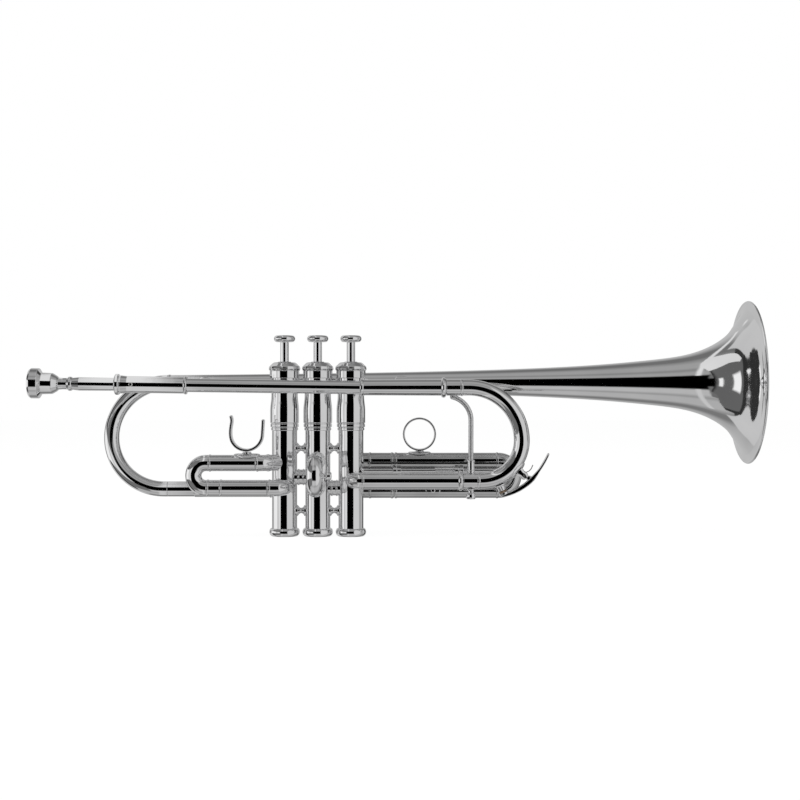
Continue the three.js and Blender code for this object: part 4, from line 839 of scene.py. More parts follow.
def hump(distance, height, at, spread):
    """A bell curve: the height times e to the power of -((distance - at) / spread)^2."""
    return height * np.exp(-(((distance - at) / spread) ** 2))


def bell_radius(distance):
    """The bell's outside radius behind its rim: the rim's radius times ((d + a) / a) to the
    power -b, never less than the bow's. One hump draws the throat in and another fills out the
    flare behind the rim."""
    flare = BELL_RIM_R * ((distance + BELL_FLARE_LENGTH) / BELL_FLARE_LENGTH) ** -BELL_FLARE_POWER
    flare = flare - hump(distance, *BELL_THROAT)
    flare = flare + hump(distance, *BELL_FILL)
    return np.maximum(flare, BOW_R)


def bell_wall(offset, length, stations=96):
    """Rows of distance and radius up to the rim. What is left to the rim follows an even share
    to the power 2.2, so that the rows draw closer towards it."""
    distance = length * np.linspace(1, 0, stations) ** 2.2
    return np.column_stack([length - distance, bell_radius(distance) + offset])


def bell_flare():
    """The spun flare by the bell's law, with its rim rolled back over a wire by a round arc."""
    length = BELL_RIM_X - BELL_SEAM_X
    outside = bell_wall(0, length)
    bore = bell_wall(-BELL_WALL, length)[::-1]
    turn = np.linspace(-0.75 * np.pi, 0.5 * np.pi, 17)
    roll = np.column_stack([
        length - RIM_WIRE_R + RIM_WIRE_R * np.sin(turn),
        BELL_RIM_R - 0.1 + RIM_WIRE_R * np.cos(turn),
    ])
    outside = outside[outside[:, 0] < roll[0, 0] - 0.3]
    corners = [(s, r, 0) for s, r in np.concatenate([outside, roll, bore])]
    start = np.array([BELL_SEAM_X, BELL_AXIS[1], BELL_AXIS[2]])
    return turned("flare", start, X, corners, BELL_SIDES)


def bell_stem():
    """The bell's stem by the same law, from the ferrule on the bow to the seam of the flare."""
    rim = BELL_RIM_X - BELL_SEAM_X
    length = BELL_SEAM_X - BELL_BACK_X
    distance = np.linspace(length, 0, 60)
    radius = bell_radius(distance + rim)
    rows = [(length - d, r, 0) for d, r in zip(distance, radius)]
    outside = [*bead(1.2, BOW_R, 0.35, 2.2), *rows[1:]]
    bore = [(s, r - BELL_WALL, 0) for s, r, _ in rows[::-1]]
    start = np.array([BELL_BACK_X, BELL_AXIS[1], BELL_AXIS[2]])
    return turned("stem_of_bell", start, X, outside + bore, BELL_SIDES)


stands_for(bell_flare(), "satin_silver", "bell_flare")
stands_for(bell_stem(), "satin_silver", "bell_stem")


def bell_bow():
    """The bow behind the player's hand: half a circle from the bell's stem down to the tail,
    which is a little thicker over its last stretch into the first valve."""
    tail_step, tail_length = 0.35, 58
    tail = span("bell_bow")[0][2] + BOW_R + 0.25
    drop = np.array([0, -BELL_AXIS[1], tail - BELL_AXIS[2]])
    start = np.array([BELL_BACK_X, BELL_AXIS[1], BELL_AXIS[2]])
    route = Route(start, -X, unit(drop)).arc(np.linalg.norm(drop) / 2, np.pi)
    bend = route.length
    route.line_to(X, VALVE_X[1] - CUT_R)
    end = route.length
    outside = [
        (0, BOW_R),
        *seam(bend + 3, BOW_R),
        (end - tail_length, BOW_R, 0.1),
        (end - tail_length + 0.3, BOW_R + tail_step, 0.2),
        *bead(end - 1.6, BOW_R + tail_step, 0.5),
        (end, BOW_R + tail_step),
    ]
    bore = [(end, BOW_R - BELL_WALL), (0, BOW_R - BELL_WALL)]
    return tube("bow_of_bell", route, outside, bore, casings=[(end, VALVE_X[1])])


stands_for(bell_bow(), "silver", "bell_bow")

# ---- Leadpipe, receiver and mouthpiece ----------------------------------------------------

upper_low, upper_high = span("main_outer_tube_upper")
UPPER_AXIS = (upper_low + upper_high) / 2
SLEEVE_R = 5.95
BAND_R = (upper_high[2] - upper_low[2]) / 2
LEADPIPE_TILT = np.radians(0.75)
LEADPIPE_R = 4.95
LEADPIPE_WALL = 0.6
LEADPIPE_ENTRY = 6  # how far the leadpipe reaches into the main slide's outer tube
TOWARDS_PLAYER = np.array([-np.cos(LEADPIPE_TILT), 0, np.sin(LEADPIPE_TILT)])
LEADPIPE_FRONT = np.array([upper_low[0], UPPER_AXIS[1], UPPER_AXIS[2]])


def along_leadpipe(x):
    """How far along the leadpipe a place at x lies, from its front end."""
    return (LEADPIPE_FRONT[0] - x) / np.cos(LEADPIPE_TILT)


def on_leadpipe(name, corners, sides=TUBE_SIDES):
    """A turned piece about the leadpipe's axis."""
    return turned(name, LEADPIPE_FRONT, TOWARDS_PLAYER, corners, sides)


def leadpipe():
    """A plain straight tube: one radius outside and one inside."""
    end = along_leadpipe(span("leadpipe")[0][0])
    bore_r = LEADPIPE_R - LEADPIPE_WALL
    outside = [(-LEADPIPE_ENTRY, LEADPIPE_R), (end, LEADPIPE_R)]
    bore = [(end, bore_r), (-LEADPIPE_ENTRY, bore_r)]
    return on_leadpipe("lead_tube", outside + bore)


def receiver():
    """The receiver: a half-round ring where it starts, a long plain sleeve, and a mouth that
    flares by a straight slope to a lip. Its bore tapers evenly."""
    low, high = span("mouthpiece_receiver")
    start, mouth = along_leadpipe(high[0]), along_leadpipe(low[0])
    r, lip_r = 6.1, 7.6
    start_bore_r, mouth_bore_r = 5.0, 5.25
    outside = [
        (start, r - 0.3, 0.1),
        *bead(start + 1.1, r - 0.1, 0.75, 2.2),
        (start + 2.5, r, 0.1),
        (mouth - 9, r, 3),
        (mouth - 4.6, r + 0.5, 1),
        (mouth - 4.1, r + 0.5, 0.1),
        (mouth - 3.8, lip_r - 1.1, 0.2),
        (mouth - 3.3, lip_r - 1.1, 0.2),
        (mouth - 2.9, lip_r, 0.5),
        (mouth - 0.5, lip_r, 0.6),
        (mouth, lip_r - 0.8, 0.3),
    ]
    return on_leadpipe("receiver", outside + [(mouth, mouth_bore_r), (start, start_bore_r)])


def mouthpiece():
    """The mouthpiece, from its shank to its rim and back through cup, throat and backbore.

    The rim is rounded by a sine, and the cup narrows with the power 1.7 of its depth.
    """
    low, high = span("mouthpiece")
    rim = along_leadpipe(low[0]) - 0.15
    tip = along_leadpipe(high[0])
    rim_r = (high[2] - low[2]) / 2 - 0.1
    t = np.linspace(0, 1, 21)
    lip_r, lip_depth = 8.1, 1.6
    cup = [(rim - 1.4 - 10 * share, 8.0 - 5.6 * share**1.7 - 0.25 * share, 0) for share in t]
    lip = [
        (rim - lip_depth * (1 - np.sin(np.pi * share)), lip_r + (rim_r - lip_r) * (1 - share), 0)
        for share in t[:-1]
    ]
    lip[0] = (rim - lip_depth, rim_r, 0.3)
    outside = [
        (tip, 4.5),
        (rim - 36.5, 4.9, 0.5),
        (rim - 31.6, 4.35, 0.3),
        *bead(rim - 29.7, 4.45, 0.75, 3.2),
        (rim - 27.6, 4.2, 0.8),
        (rim - 24.5, 4.15, 2),
        (rim - 21.5, 4.4, 0.5),
        (rim - 20.5, 5.5, 1),
        (rim - 17, 7.6, 2),
        (rim - 9.2, 7.9, 0.6),
        (rim - 8.2, 9.4, 0.8),
        (rim - 7.2, rim_r, 0.7),
        *lip,
    ]
    inside = [*cup, (rim - 14.5, 1.95, 1.5), (rim - 19, 1.9, 2), (tip, 3.6)]
    return on_leadpipe("cup_mouthpiece", outside + inside, 96)


def stud(name, start, axis, radius, height):
    """A low round head whose side slopes in above 0.6 of its height."""
    corners = [
        (0, 0),
        (0, radius, 0.1),
        (0.6 * height, radius, 0.3),
        (height, 0.65 * radius, 0.3),
        (height, 0),
    ]
    return turned(name, start, axis, corners, 32, closed=False)


RECEIVER_SCREW_SETBACK = 12.4  # behind the receiver's mouth
screw_along = along_leadpipe(span("mouthpiece_receiver")[0][0]) - RECEIVER_SCREW_SETBACK
screw_place = LEADPIPE_FRONT + TOWARDS_PLAYER * screw_along - Y * 5.9
piece(stud("receiver_screw", screw_place, -Y, 1.5, 0.9), "nickel", "trumpet_body")
stands_for(leadpipe(), "silver", "leadpipe")
stands_for(receiver(), "silver", "mouthpiece_receiver")
stands_for(mouthpiece(), "silver", "mouthpiece")

# ---- Main tuning slide --------------------------------------------------------------------

lower_low, lower_high = span("main_outer_tube_lower")
leg_upper_low, leg_upper_high = span("main_slide_leg_upper")
leg_lower_low, leg_lower_high = span("main_slide_leg_lower")
LOWER_AXIS = np.array(
    [0, (leg_lower_low[1] + leg_lower_high[1]) / 2, (lower_low[2] + lower_high[2]) / 2]
)


def main_tube(name, route, foot, casings=()):
    """A fixed outer tube with a ring at its foot and a raised band round its mouth."""
    end = route.length
    outside = [
        *foot,
        *bead(end - 1.8, SLEEVE_R, BAND_R - SLEEVE_R, 3.4),
        (end, SLEEVE_R, 0.1),
    ]
    bore = [(end, SLEEVE_BORE_R), (0, SLEEVE_BORE_R - 0.5)]
    return tube(name, route, outside, bore, casings=casings)


upper_route = Route(LEADPIPE_FRONT, X).line_to(X, upper_high[0])
stands_for(
    main_tube("upper_outer_tube", upper_route, [(0, 5.2), *bead(1.4, SLEEVE_R - 0.25, 0.6, 2.6)]),
    "silver",
    "main_outer_tube_upper",
)
lower_start = np.array([VALVE_X[3] + 2, LOWER_AXIS[1] + ELBOW_R, LOWER_AXIS[2]])
lower_route = Route(lower_start, -Y, X).arc(ELBOW_R, np.pi / 2)
lower_bend = lower_route.length
lower_route.line_to(X, lower_high[0])
stands_for(
    main_tube(
        "lower_outer_tube",
        lower_route,
        [(0, SLEEVE_R), *bead(lower_bend + 1.5, SLEEVE_R, 0.3, 1.6), (lower_bend + 4, SLEEVE_R, 0)],
        [(0, VALVE_X[3])],
    ),
    "silver",
    "main_outer_tube_lower",
)


def slide_leg(name, low_x, high_x, centre, band_x):
    """An inner tube, and the ferrule that joins it to the crook."""
    route = Route([low_x, centre[1], centre[2]], X).line_to(X, high_x)
    shoulder = band_x - low_x + 0.3
    end = route.length
    outside = [
        (0, INNER_R),
        (shoulder, INNER_R, 0.1),
        (shoulder, SLEEVE_R, 0.3),
        *bead(end - 1.0, SLEEVE_R, 0.35, 1.8),
        (end, SLEEVE_R, 0.1),
    ]
    return tube(name, route, outside, [(end, BORE_R), (0, BORE_R)])


stands_for(
    slide_leg("upper_leg", leg_upper_low[0], leg_upper_high[0], UPPER_AXIS, upper_high[0]),
    "silver",
    "main_slide_leg_upper",
)
stands_for(
    slide_leg("lower_leg", leg_lower_low[0], leg_lower_high[0], LOWER_AXIS, lower_high[0]),
    "silver",
    "main_slide_leg_lower",
)

CROOK_DOWN = np.array([0, LOWER_AXIS[1] - UPPER_AXIS[1], LOWER_AXIS[2] - UPPER_AXIS[2]])
CROOK_DROP = np.linalg.norm(CROOK_DOWN)
CROOK_DOWN = CROOK_DOWN / CROOK_DROP
CROOK_FRONT_X = span("main_slide_bow")[1][0] - SLEEVE_R
LOWER_BEND_R = CROOK_DROP - UPPER_BEND_R
CROOK_CENTRE = UPPER_AXIS + CROOK_DOWN * UPPER_BEND_R
CROOK_CENTRE[0] = CROOK_FRONT_X - LOWER_BEND_R
CROOK_OUTSIDE = LOWER_BEND_R + SLEEVE_R
CROOK_ACROSS = np.cross(X, -CROOK_DOWN)

crook_start = np.array([leg_upper_high[0], UPPER_AXIS[1], UPPER_AXIS[2]])
crook_route = (
    Route(crook_start, X, CROOK_DOWN)
    .line_to(X, CROOK_FRONT_X - UPPER_BEND_R)
    .arc(UPPER_BEND_R, np.pi / 2)
    .arc(LOWER_BEND_R, np.pi / 2)
    .line_to(X, leg_lower_high[0])
)
crook_end = crook_route.length
stands_for(
    tube(
        "crook",
        crook_route,
        [(0, SLEEVE_R - 0.1), (crook_end, SLEEVE_R - 0.1)],
        [(crook_end, BORE_R), (0, BORE_R)],
    ),
    "silver",
    "main_slide_bow",
)


def stay():
    """The rod between the crook's legs, round in section: nearly a quarter of a circle below the
    upper ferrule, then straight down, closing into its collar."""
    high = span("main_slide_brace")[1]
    knee_r, slope, rod, closing = 17.5, 0.12, 3.7, 1.8
    foot_x = high[0] - 1.65
    start = UPPER_AXIS + CROOK_DOWN * (SLEEVE_R + 0.6)
    start[0] = foot_x - 16.5
    route = Route(start, X + slope * CROOK_DOWN, CROOK_DOWN).arc(knee_r, np.pi / 2 - slope)
    route.line_to(Z, LOWER_AXIS[2] + SLEEVE_R - 0.3)
    s = bar_stations(route.length, closing)
    centre, _, side = route.at(s)
    thick = rod * end_rounding(s, route.length, closing)
    return skin("stay", strip(centre, side, route.across, thick, thick, sides=40), False), route.end


def stay_collar(foot):
    """The sleeve round the rod's foot: a cylinder with a ring at each end."""
    sleeve_r, ring_r, end_r, bore_r, length = 2.65, 2.9, 2.4, 1.7, 9.5
    corners = [
        (0, end_r, 0.2),
        (0.8, end_r, 0.1),
        (1.0, ring_r, 0.3),
        (2.0, ring_r, 0.2),
        (2.3, sleeve_r, 0.1),
        (8.0, sleeve_r, 0.1),
        (8.3, ring_r, 0.2),
        (9.2, ring_r, 0.4),
        (length, end_r, 0.3),
        (length, bore_r),
        (0, bore_r),
    ]
    return turned("stay_collar", foot, -CROOK_DOWN, corners)


stay_mesh, stay_foot = stay()
stands_for(stay_mesh, "brushed_silver", "main_slide_brace")
piece(stay_collar(stay_foot), "silver", "main_slide")


def pull_knob(name, start, axis, neck_r, head_r, neck, head):
    """A turned knob: a concave neck, and a head that is a flattened ball, whose radius beyond the
    neck's follows a sine to the power 0.7."""
    t = np.linspace(0, np.pi, 19)
    ball = [
        (neck + head / 2 - head / 2 * np.cos(a), neck_r + (head_r - neck_r) * np.sin(a) ** 0.7, 0)
        for a in t[1:-3]
    ]
    corners = [
        (0, 0),
        (0, neck_r + 1.1, 0.2),
        (0.6, neck_r + 0.9, 0.4),
        (1.4, neck_r, 1),
        (neck, neck_r, 0.3),
        *ball,
        (neck + head, 0),
    ]
    return turned(name, start, axis, corners, closed=False)


knob_start = np.array([stay_foot[0], LOWER_AXIS[1], LOWER_AXIS[2] - SLEEVE_R + 0.2])
piece(pull_knob("main_pull_knob", knob_start, -Z, 2.1, 3.6, 3.0, 5.0), "silver", "main_slide")

# ---- Water key ----------------------------------------------------------------------------

NIPPLE_ANGLE = np.radians(-67)
PIVOT_ANGLE = np.radians(-39.5)
PIVOT_HEIGHT = 4.4
KEY_WIDTH = 5.0
EAR_SETBACK = 1.4  # from the key's side to the middle of the ear beside it


def crook_spoke(angle):
    """The way out at an angle a round the lower bend: cos a forward less sin a down."""
    angle = np.asarray(angle)[..., None]
    return np.cos(angle) * X - np.sin(angle) * CROOK_DOWN


def crook_point(angle, height, across=0.0):
    """A place by its angle round the lower bend, its height above the crook's outside and its
    distance across. Each may be an array."""
    out = (CROOK_OUTSIDE + np.asarray(height))[..., None] * crook_spoke(angle)
    return CROOK_CENTRE + out + np.asarray(across)[..., None] * CROOK_ACROSS


def smooth(at, knots, values):
    """Values between whole-numbered knots by a cubic whose slope at each knot is that of the
    chord between its neighbours."""
    values = np.asarray(values, float)
    slopes = np.gradient(values, knots)
    i = np.clip(np.floor(at).astype(int), 0, len(knots) - 2)
    t = at - i
    return (
        (2 * t**3 - 3 * t**2 + 1) * values[i]
        + (t**3 - 2 * t**2 + t) * slopes[i]
        + (3 * t**2 - 2 * t**3) * values[i + 1]
        + (t**3 - t**2) * slopes[i + 1]
    )


def nipple():
    """The drain's nipple: a cone on a small flange, dished round its mouth."""
    start = crook_point(NIPPLE_ANGLE, -0.4)
    mouth, bore_r = 4.9, 1.6
    corners = [
        (0, 4.3, 0.2),
        (0.8, 4.1, 0.3),
        (1.2, 3.2, 0.4),
        (4.5, 2.7, 0.4),
        (mouth, 2.4, 0.2),
        (mouth, 1.9, 0.2),
        (mouth - 1.0, bore_r),
        (0, bore_r),
    ]
    return turned("drain_nipple", start, crook_spoke(NIPPLE_ANGLE), corners)


def key_lever():
    """The key's lever: a strip along a smooth curve of height over the crook, thick over its
    middle and thinned to the finger's touch, which widens like a spatula. Its thickness and
    width run straight from one given size to the next, and close at the ends by an ellipse."""
    angles = np.radians([-71, -62, -50, -39.5, -30, -20, -10.5])
    heights = [7.7, 8.6, 9.9, 11.1, 11.8, 13.0, 14.7]
    t = np.linspace(0, 1, 90)
    place = t * (len(angles) - 1)
    knots = np.arange(len(angles))
    centre = crook_point(smooth(place, knots, angles), smooth(place, knots, heights))
    heading = np.gradient(centre, axis=0)
    heading /= np.linalg.norm(heading, axis=1)[:, None]
    side = np.cross(heading, CROOK_ACROSS)
    length = np.concatenate([[0], np.cumsum(np.linalg.norm(np.diff(centre, axis=0), axis=1))])
    close = end_rounding(length, length[-1], 1.6)
    thick = close * np.interp(t, [0, 0.15, 0.3, 0.55, 0.72, 1], [1.8, 2.6, 3.3, 3.4, 1.7, 1.3])
    wide = close * np.interp(t, [0, 0.12, 0.3, 0.7, 0.88, 1], [6.4, 6.4, 4.6, 4.2, 6.2, 5.6])
    return skin("key_lever", strip(centre, side, CROOK_ACROSS, thick, wide, 6.0, 48), False)


def key_post():
    """The web that stands from the lever down to its hinge barrel, narrowest halfway up."""
    foot = crook_point(PIVOT_ANGLE, PIVOT_HEIGHT)
    head = crook_point(PIVOT_ANGLE + 0.02, 10.2)
    route = Route(foot, head - foot, X).line(np.linalg.norm(head - foot))
    s = bar_stations(route.length, 0.8)
    centre, _, side = route.at(s)
    close = end_rounding(s, route.length, 0.8)
    thick = np.interp(s / route.length, [0, 0.5, 1], [3.6, 2.8, 5.2]) * close
    wide = 3.4 * close
    return skin("key_post", strip(centre, side, route.across, thick, wide, 4.0), False)


def across_crook(name, angle, height, half, corners):
    """A turned piece that lies across the crook, centred on its plane."""
    return turned(name, crook_point(angle, height, -half), CROOK_ACROSS, corners, 48)


def key_saddle():
    """The hinge's foot on the crook, thin at its edge. At t along it, it is as wide as cos t to
    the power 0.6 and as thick as cos t to the power 0.5."""
    half_angle, half_width, thickness = 0.21, 5.6, 1.7
    t = np.linspace(-np.pi / 2, np.pi / 2, 25)
    angle = PIVOT_ANGLE + half_angle * np.sin(t)
    turn = np.linspace(0, 2 * np.pi, 40, endpoint=False)
    half = half_width * np.cos(t)[:, None] ** 0.6 * np.sin(turn)
    height = -0.5 + thickness * np.cos(t)[:, None] ** 0.5 * (1 + np.cos(turn)) / 2
    # The crook is round across the plane too, so the foot sinks with the square of its width.
    height = height - (SLEEVE_R - np.sqrt(SLEEVE_R**2 - np.minimum(half**2, 30)))
    return skin("key_saddle", crook_point(angle[:, None], height, half), False)


def key_ear(name, across):
    """An upright ear of the hinge, drawn in above its foot and rounded over its pin."""
    foot = crook_point(PIVOT_ANGLE, -0.6, across)
    length = PIVOT_HEIGHT + 3.5
    route = Route(foot, crook_spoke(PIVOT_ANGLE), X).line(length)
    s = bar_stations(length, 2.0)
    centre, _, side = route.at(s)
    close = np.where(s > length / 2, end_rounding(s, length, 2.0), np.clip(s * 4, 0, 1))
    thick = close * np.interp(s / length, [0, 0.45, 0.6, 1], [7.6, 5.2, 5.8, 5.8])
    wide = 2.6 * np.clip(close * 3, 0, 1)
    return skin(name, strip(centre, side, route.across, thick, wide), False)


def key_spring():
    """The key's spring: a helix round the pin, and a leg that reaches out to the touch and bows
    by a sine."""
    turns, coil_r, wire_r = 3.25, 1.75, 0.35
    leg_length, leg_bow = 9, 1.6
    share = np.linspace(0, 1, 150)[:, None]
    angle = np.linspace(np.pi, np.pi - 2 * np.pi * turns, 150)
    half = -KEY_WIDTH / 2 + wire_r + (KEY_WIDTH - 2 * wire_r - 0.4) * share
    pivot = crook_point(PIVOT_ANGLE, PIVOT_HEIGHT)
    coil = pivot + coil_r * crook_spoke(angle) + half * CROOK_ACROSS
    t = np.linspace(0.04, 1, 30)[:, None]
    out = unit([0.75, 0, 0.66])
    leg = coil[-1] + leg_length * t * out + leg_bow * np.sin(np.pi * t) * np.cross(out, CROOK_ACROSS)
    centre = np.concatenate([coil, leg])
    heading = np.gradient(centre, axis=0)
    heading /= np.linalg.norm(heading, axis=1)[:, None]
    side = np.cross(heading, CROOK_ACROSS)
    side /= np.linalg.norm(side, axis=1)[:, None]
    across = np.cross(side, heading)
    size = np.full(len(centre), 2 * wire_r)
    size[[0, -1]] = 0
    return skin("key_spring", strip(centre, side, across, size, size, sides=16), False)


def key_cork():
    """The cork pad that shuts the nipple: a short round plug."""
    start = crook_point(NIPPLE_ANGLE, 4.65)
    corners = [(0, 0), (0, 2.9, 0.4), (2.1, 2.9, 0.2), (2.1, 0)]
    return turned("cork_pad", start, crook_spoke(NIPPLE_ANGLE), corners, closed=False)


def key_cup():
    """The shallow cup under the lever's end that holds the cork: a ring with a sloping back."""
    start = crook_point(NIPPLE_ANGLE, 5.9)
    cup_r, bore_r, floor_r = 3.5, 3.0, 0.4
    corners = [
        (0, cup_r, 0.2),
        (1.6, cup_r, 0.5),
        (2.6, 2.2, 0.6),
        (2.6, floor_r),
        (0.9, floor_r),
        (0.9, bore_r),
        (0, bore_r),
    ]
    return turned("cork_cup", start, crook_spoke(NIPPLE_ANGLE), corners)


def key_pin():
    """The hinge's pin across the crook, thin but for its domed head."""
    half = KEY_WIDTH / 2 + 2.9
    head_r, pin_r, closing_r = 2.1, 0.9, 0.05
    corners = [
        (-0.6, closing_r),
        (-0.5, 1.2, 0.8),
        (0.2, head_r, 0.6),
        (0.7, head_r, 0.1),
        (0.7, pin_r, 0.1),
        (2 * half - 0.5, pin_r),
        (2 * half, 0.7),
        (2 * half, closing_r),
    ]
    return across_crook("key_pin", PIVOT_ANGLE, PIVOT_HEIGHT, half, corners)


def key_barrel():
    """The lever's barrel round the pin: a plain tube as wide as the key."""
    barrel_r, bore_r = 1.55, 1.05
    corners = [(0, barrel_r), (KEY_WIDTH, barrel_r), (KEY_WIDTH, bore_r), (0, bore_r)]
    return across_crook("key_barrel", PIVOT_ANGLE, PIVOT_HEIGHT, KEY_WIDTH / 2, corners)


stands_for(nipple(), "silver", "water_key_nipple")
stands_for(key_saddle(), "silver", "water_key_saddle")
for number, across in ((1, -KEY_WIDTH / 2 - EAR_SETBACK), (2, KEY_WIDTH / 2 + EAR_SETBACK)):
    piece(key_ear(f"key_ear_{number}", across), "silver", "main_slide")
piece(key_pin(), "spring_steel", "main_slide")
stands_for(key_lever(), "silver", "water_key_lever")
piece(key_post(), "silver", "water_key")
piece(key_cup(), "silver", "water_key")
piece(key_barrel(), "silver", "water_key")
stands_for(key_spring(), "spring_steel", "water_key_spring")
stands_for(key_cork(), "cork", "water_key_cork")

# ---- Valve slides -------------------------------------------------------------------------


def fixed_tube(name, route, mouth, beads, node, casing_x, finish="silver"):
    """A fixed slide tube: full size from its casing to its mouth, then the inner tube."""
    outside = [(0, SLEEVE_R)]
    for at in sorted(beads):
        outside += bead(at, SLEEVE_R)
    outside += [(mouth, SLEEVE_R, 0.3), (mouth, INNER_R, 0.1), (route.length, INNER_R)]
    bore = [(route.length, BORE_R), (0, BORE_R)]
    stands_for(tube(name, route, outside, bore, casings=[(0, casing_x)]), finish, node)


def loop(name, route, beads, first_shoulder, last_shoulder, node, finish="silver"):
    """A sliding loop: two sleeves and the bow between them."""
    end = route.length
    outside = [(0, SLEEVE_R)]
    for at in sorted(beads):
        outside += bead(at, SLEEVE_R)
    outside += [(end, SLEEVE_R)]
    bore = [
        (end, SLEEVE_BORE_R),
        (last_shoulder, SLEEVE_BORE_R),
        (last_shoulder, BORE_R),
        (first_shoulder, BORE_R),
        (first_shoulder, SLEEVE_BORE_R),
        (0, SLEEVE_BORE_R),
    ]
    stands_for(tube(name, route, outside, bore), finish, node)


first_low, first_high = span("first_slide_loop")
first_upper_in = span("first_slide_inner_upper")
first_lower_in = span("first_slide_inner_lower")
FIRST_Y = (first_low[1] + first_high[1]) / 2
FIRST_UPPER_Z = (first_upper_in[0][2] + first_upper_in[1][2]) / 2
FIRST_LOWER_Z = (first_lower_in[0][2] + first_lower_in[1][2]) / 2
FIRST_BOW_R = (FIRST_UPPER_Z - FIRST_LOWER_Z) / 2
FIRST_INNER_END = first_upper_in[0][0]
FIRST_UPPER_MOUTH = -44.5
FIRST_LOWER_MOUTH = first_high[0] + SLIDE_GAP
DIAGONAL_R = 8.0

# The first slide's upper tube leaves its casing at half a right angle, then turns along it.
turn_back = DIAGONAL_R * (1 - np.cos(np.pi / 4))
diagonal = CUT_R * np.sqrt(0.5)
first_start = np.array([VALVE_X[1] - diagonal, -diagonal, FIRST_UPPER_Z])
first_upper = (
    Route(first_start, -X - Y, Y - X)
    .line((first_start[1] - FIRST_Y - turn_back) * np.sqrt(2))
    .arc(DIAGONAL_R, np.pi / 4)
)
first_upper_bend = first_upper.length
first_upper_mouth = first_upper_bend + first_upper.end[0] - FIRST_UPPER_MOUTH
first_upper.line_to(X, FIRST_INNER_END)
fixed_tube(
    "first_upper_tube",
    first_upper,
    first_upper_mouth,
    [first_upper_mouth - 9.8, first_upper_mouth - 1.2],
    "first_slide_inner_upper",
    VALVE_X[1],
)

first_lower = Route([VALVE_X[1], FIRST_Y + ELBOW_R, FIRST_LOWER_Z], -Y, -X).arc(ELBOW_R, np.pi / 2)
first_lower_mouth = first_lower.length + first_lower.end[0] - FIRST_LOWER_MOUTH
first_lower.line_to(X, FIRST_INNER_END)
fixed_tube(
    "first_lower_tube",
    first_lower,
    first_lower_mouth,
    [first_lower_mouth - 1.5],
    "first_slide_inner_lower",
    VALVE_X[1],
)

FIRST_BOW_X = first_low[0] + SLEEVE_R + FIRST_BOW_R
first_loop = (
    Route([FIRST_UPPER_MOUTH - SLIDE_GAP, FIRST_Y, FIRST_UPPER_Z], -X, -Z)
    .line_to(X, FIRST_BOW_X)
    .arc(FIRST_BOW_R, np.pi)
    .line_to(X, first_high[0])
)
first_near = FIRST_UPPER_MOUTH - SLIDE_GAP - FIRST_BOW_X
first_far = first_loop.length - (first_high[0] - FIRST_BOW_X)
loop(
    "first_loop",
    first_loop,
    [first_near - 3, first_far + 1.5, first_far + 11.1],
    first_near - 5,
    first_far + 5,
    "first_slide_loop",
)

second_upper_low, second_upper_high = span("second_slide_outer_upper")
second_lower_low, second_lower_high = span("second_slide_outer_lower")
SECOND_MOUTH_Y = second_upper_low[1]
for level, node_low, node_high in (
    ("upper", second_upper_low, second_upper_high),
    ("lower", second_lower_low, second_lower_high),
):
    z = (node_low[2] + node_high[2]) / 2
    route = Route([0, -CUT_R, z], -Y, X).line_to(Y, SECOND_MOUTH_Y)
    end = route.length
    foot_bead, mouth_bead = bead(1.9, SLEEVE_R), bead(end - 1.0, SLEEVE_R, 0.4, 1.8)
    outside = [(0, SLEEVE_R), *foot_bead, *mouth_bead, (end, SLEEVE_R)]
    bore = [(end, SLEEVE_BORE_R), (0, SLEEVE_BORE_R)]
    made = tube(f"second_{level}_tube", route, outside, bore, casings=[(0, VALVE_X[2])])
    stands_for(made, "silver", f"second_slide_outer_{level}")

SECOND_UPPER_Z = (second_upper_low[2] + second_upper_high[2]) / 2
SECOND_LOWER_Z = (second_lower_low[2] + second_lower_high[2]) / 2
SECOND_BOW_R = (SECOND_UPPER_Z - SECOND_LOWER_Z) / 2
second_low, second_high = span("second_slide_loop")
SECOND_BOW_Y = second_low[1] + SLEEVE_R + SECOND_BOW_R
second_loop = (
    Route([0, second_high[1], SECOND_UPPER_Z], -Y, -Z)
    .line_to(Y, SECOND_BOW_Y)
    .arc(SECOND_BOW_R, np.pi)
    .line_to(Y, second_high[1])
)
shoulder = second_high[1] - SECOND_MOUTH_Y + SLIDE_GAP
second_end = second_loop.length
second_straight = second_high[1] - SECOND_BOW_Y
stands_for(
    tube(
        "second_loop",
        second_loop,
        [
            (0, INNER_R),
            (shoulder, INNER_R, 0.1),
            (shoulder, SLEEVE_R, 0.3),
            *bead(second_straight - 1.2, SLEEVE_R, 0.3, 1.6),
            *bead(second_end - second_straight + 1.2, SLEEVE_R, 0.3, 1.6),
            (second_end - shoulder, SLEEVE_R, 0.3),
            (second_end - shoulder, INNER_R, 0.1),
            (second_end, INNER_R),
        ],
        [(second_end, BORE_R), (0, BORE_R)],
    ),
    "silver",
    "second_slide_loop",
)
second_knob = np.array(
    [SLEEVE_R - 0.8, second_low[1] + SLEEVE_R, (SECOND_UPPER_Z + SECOND_LOWER_Z) / 2]
)
piece(pull_knob("second_pull_knob", second_knob, X, 1.6, 2.9, 2.8, 4.5), "silver", "second_slide")

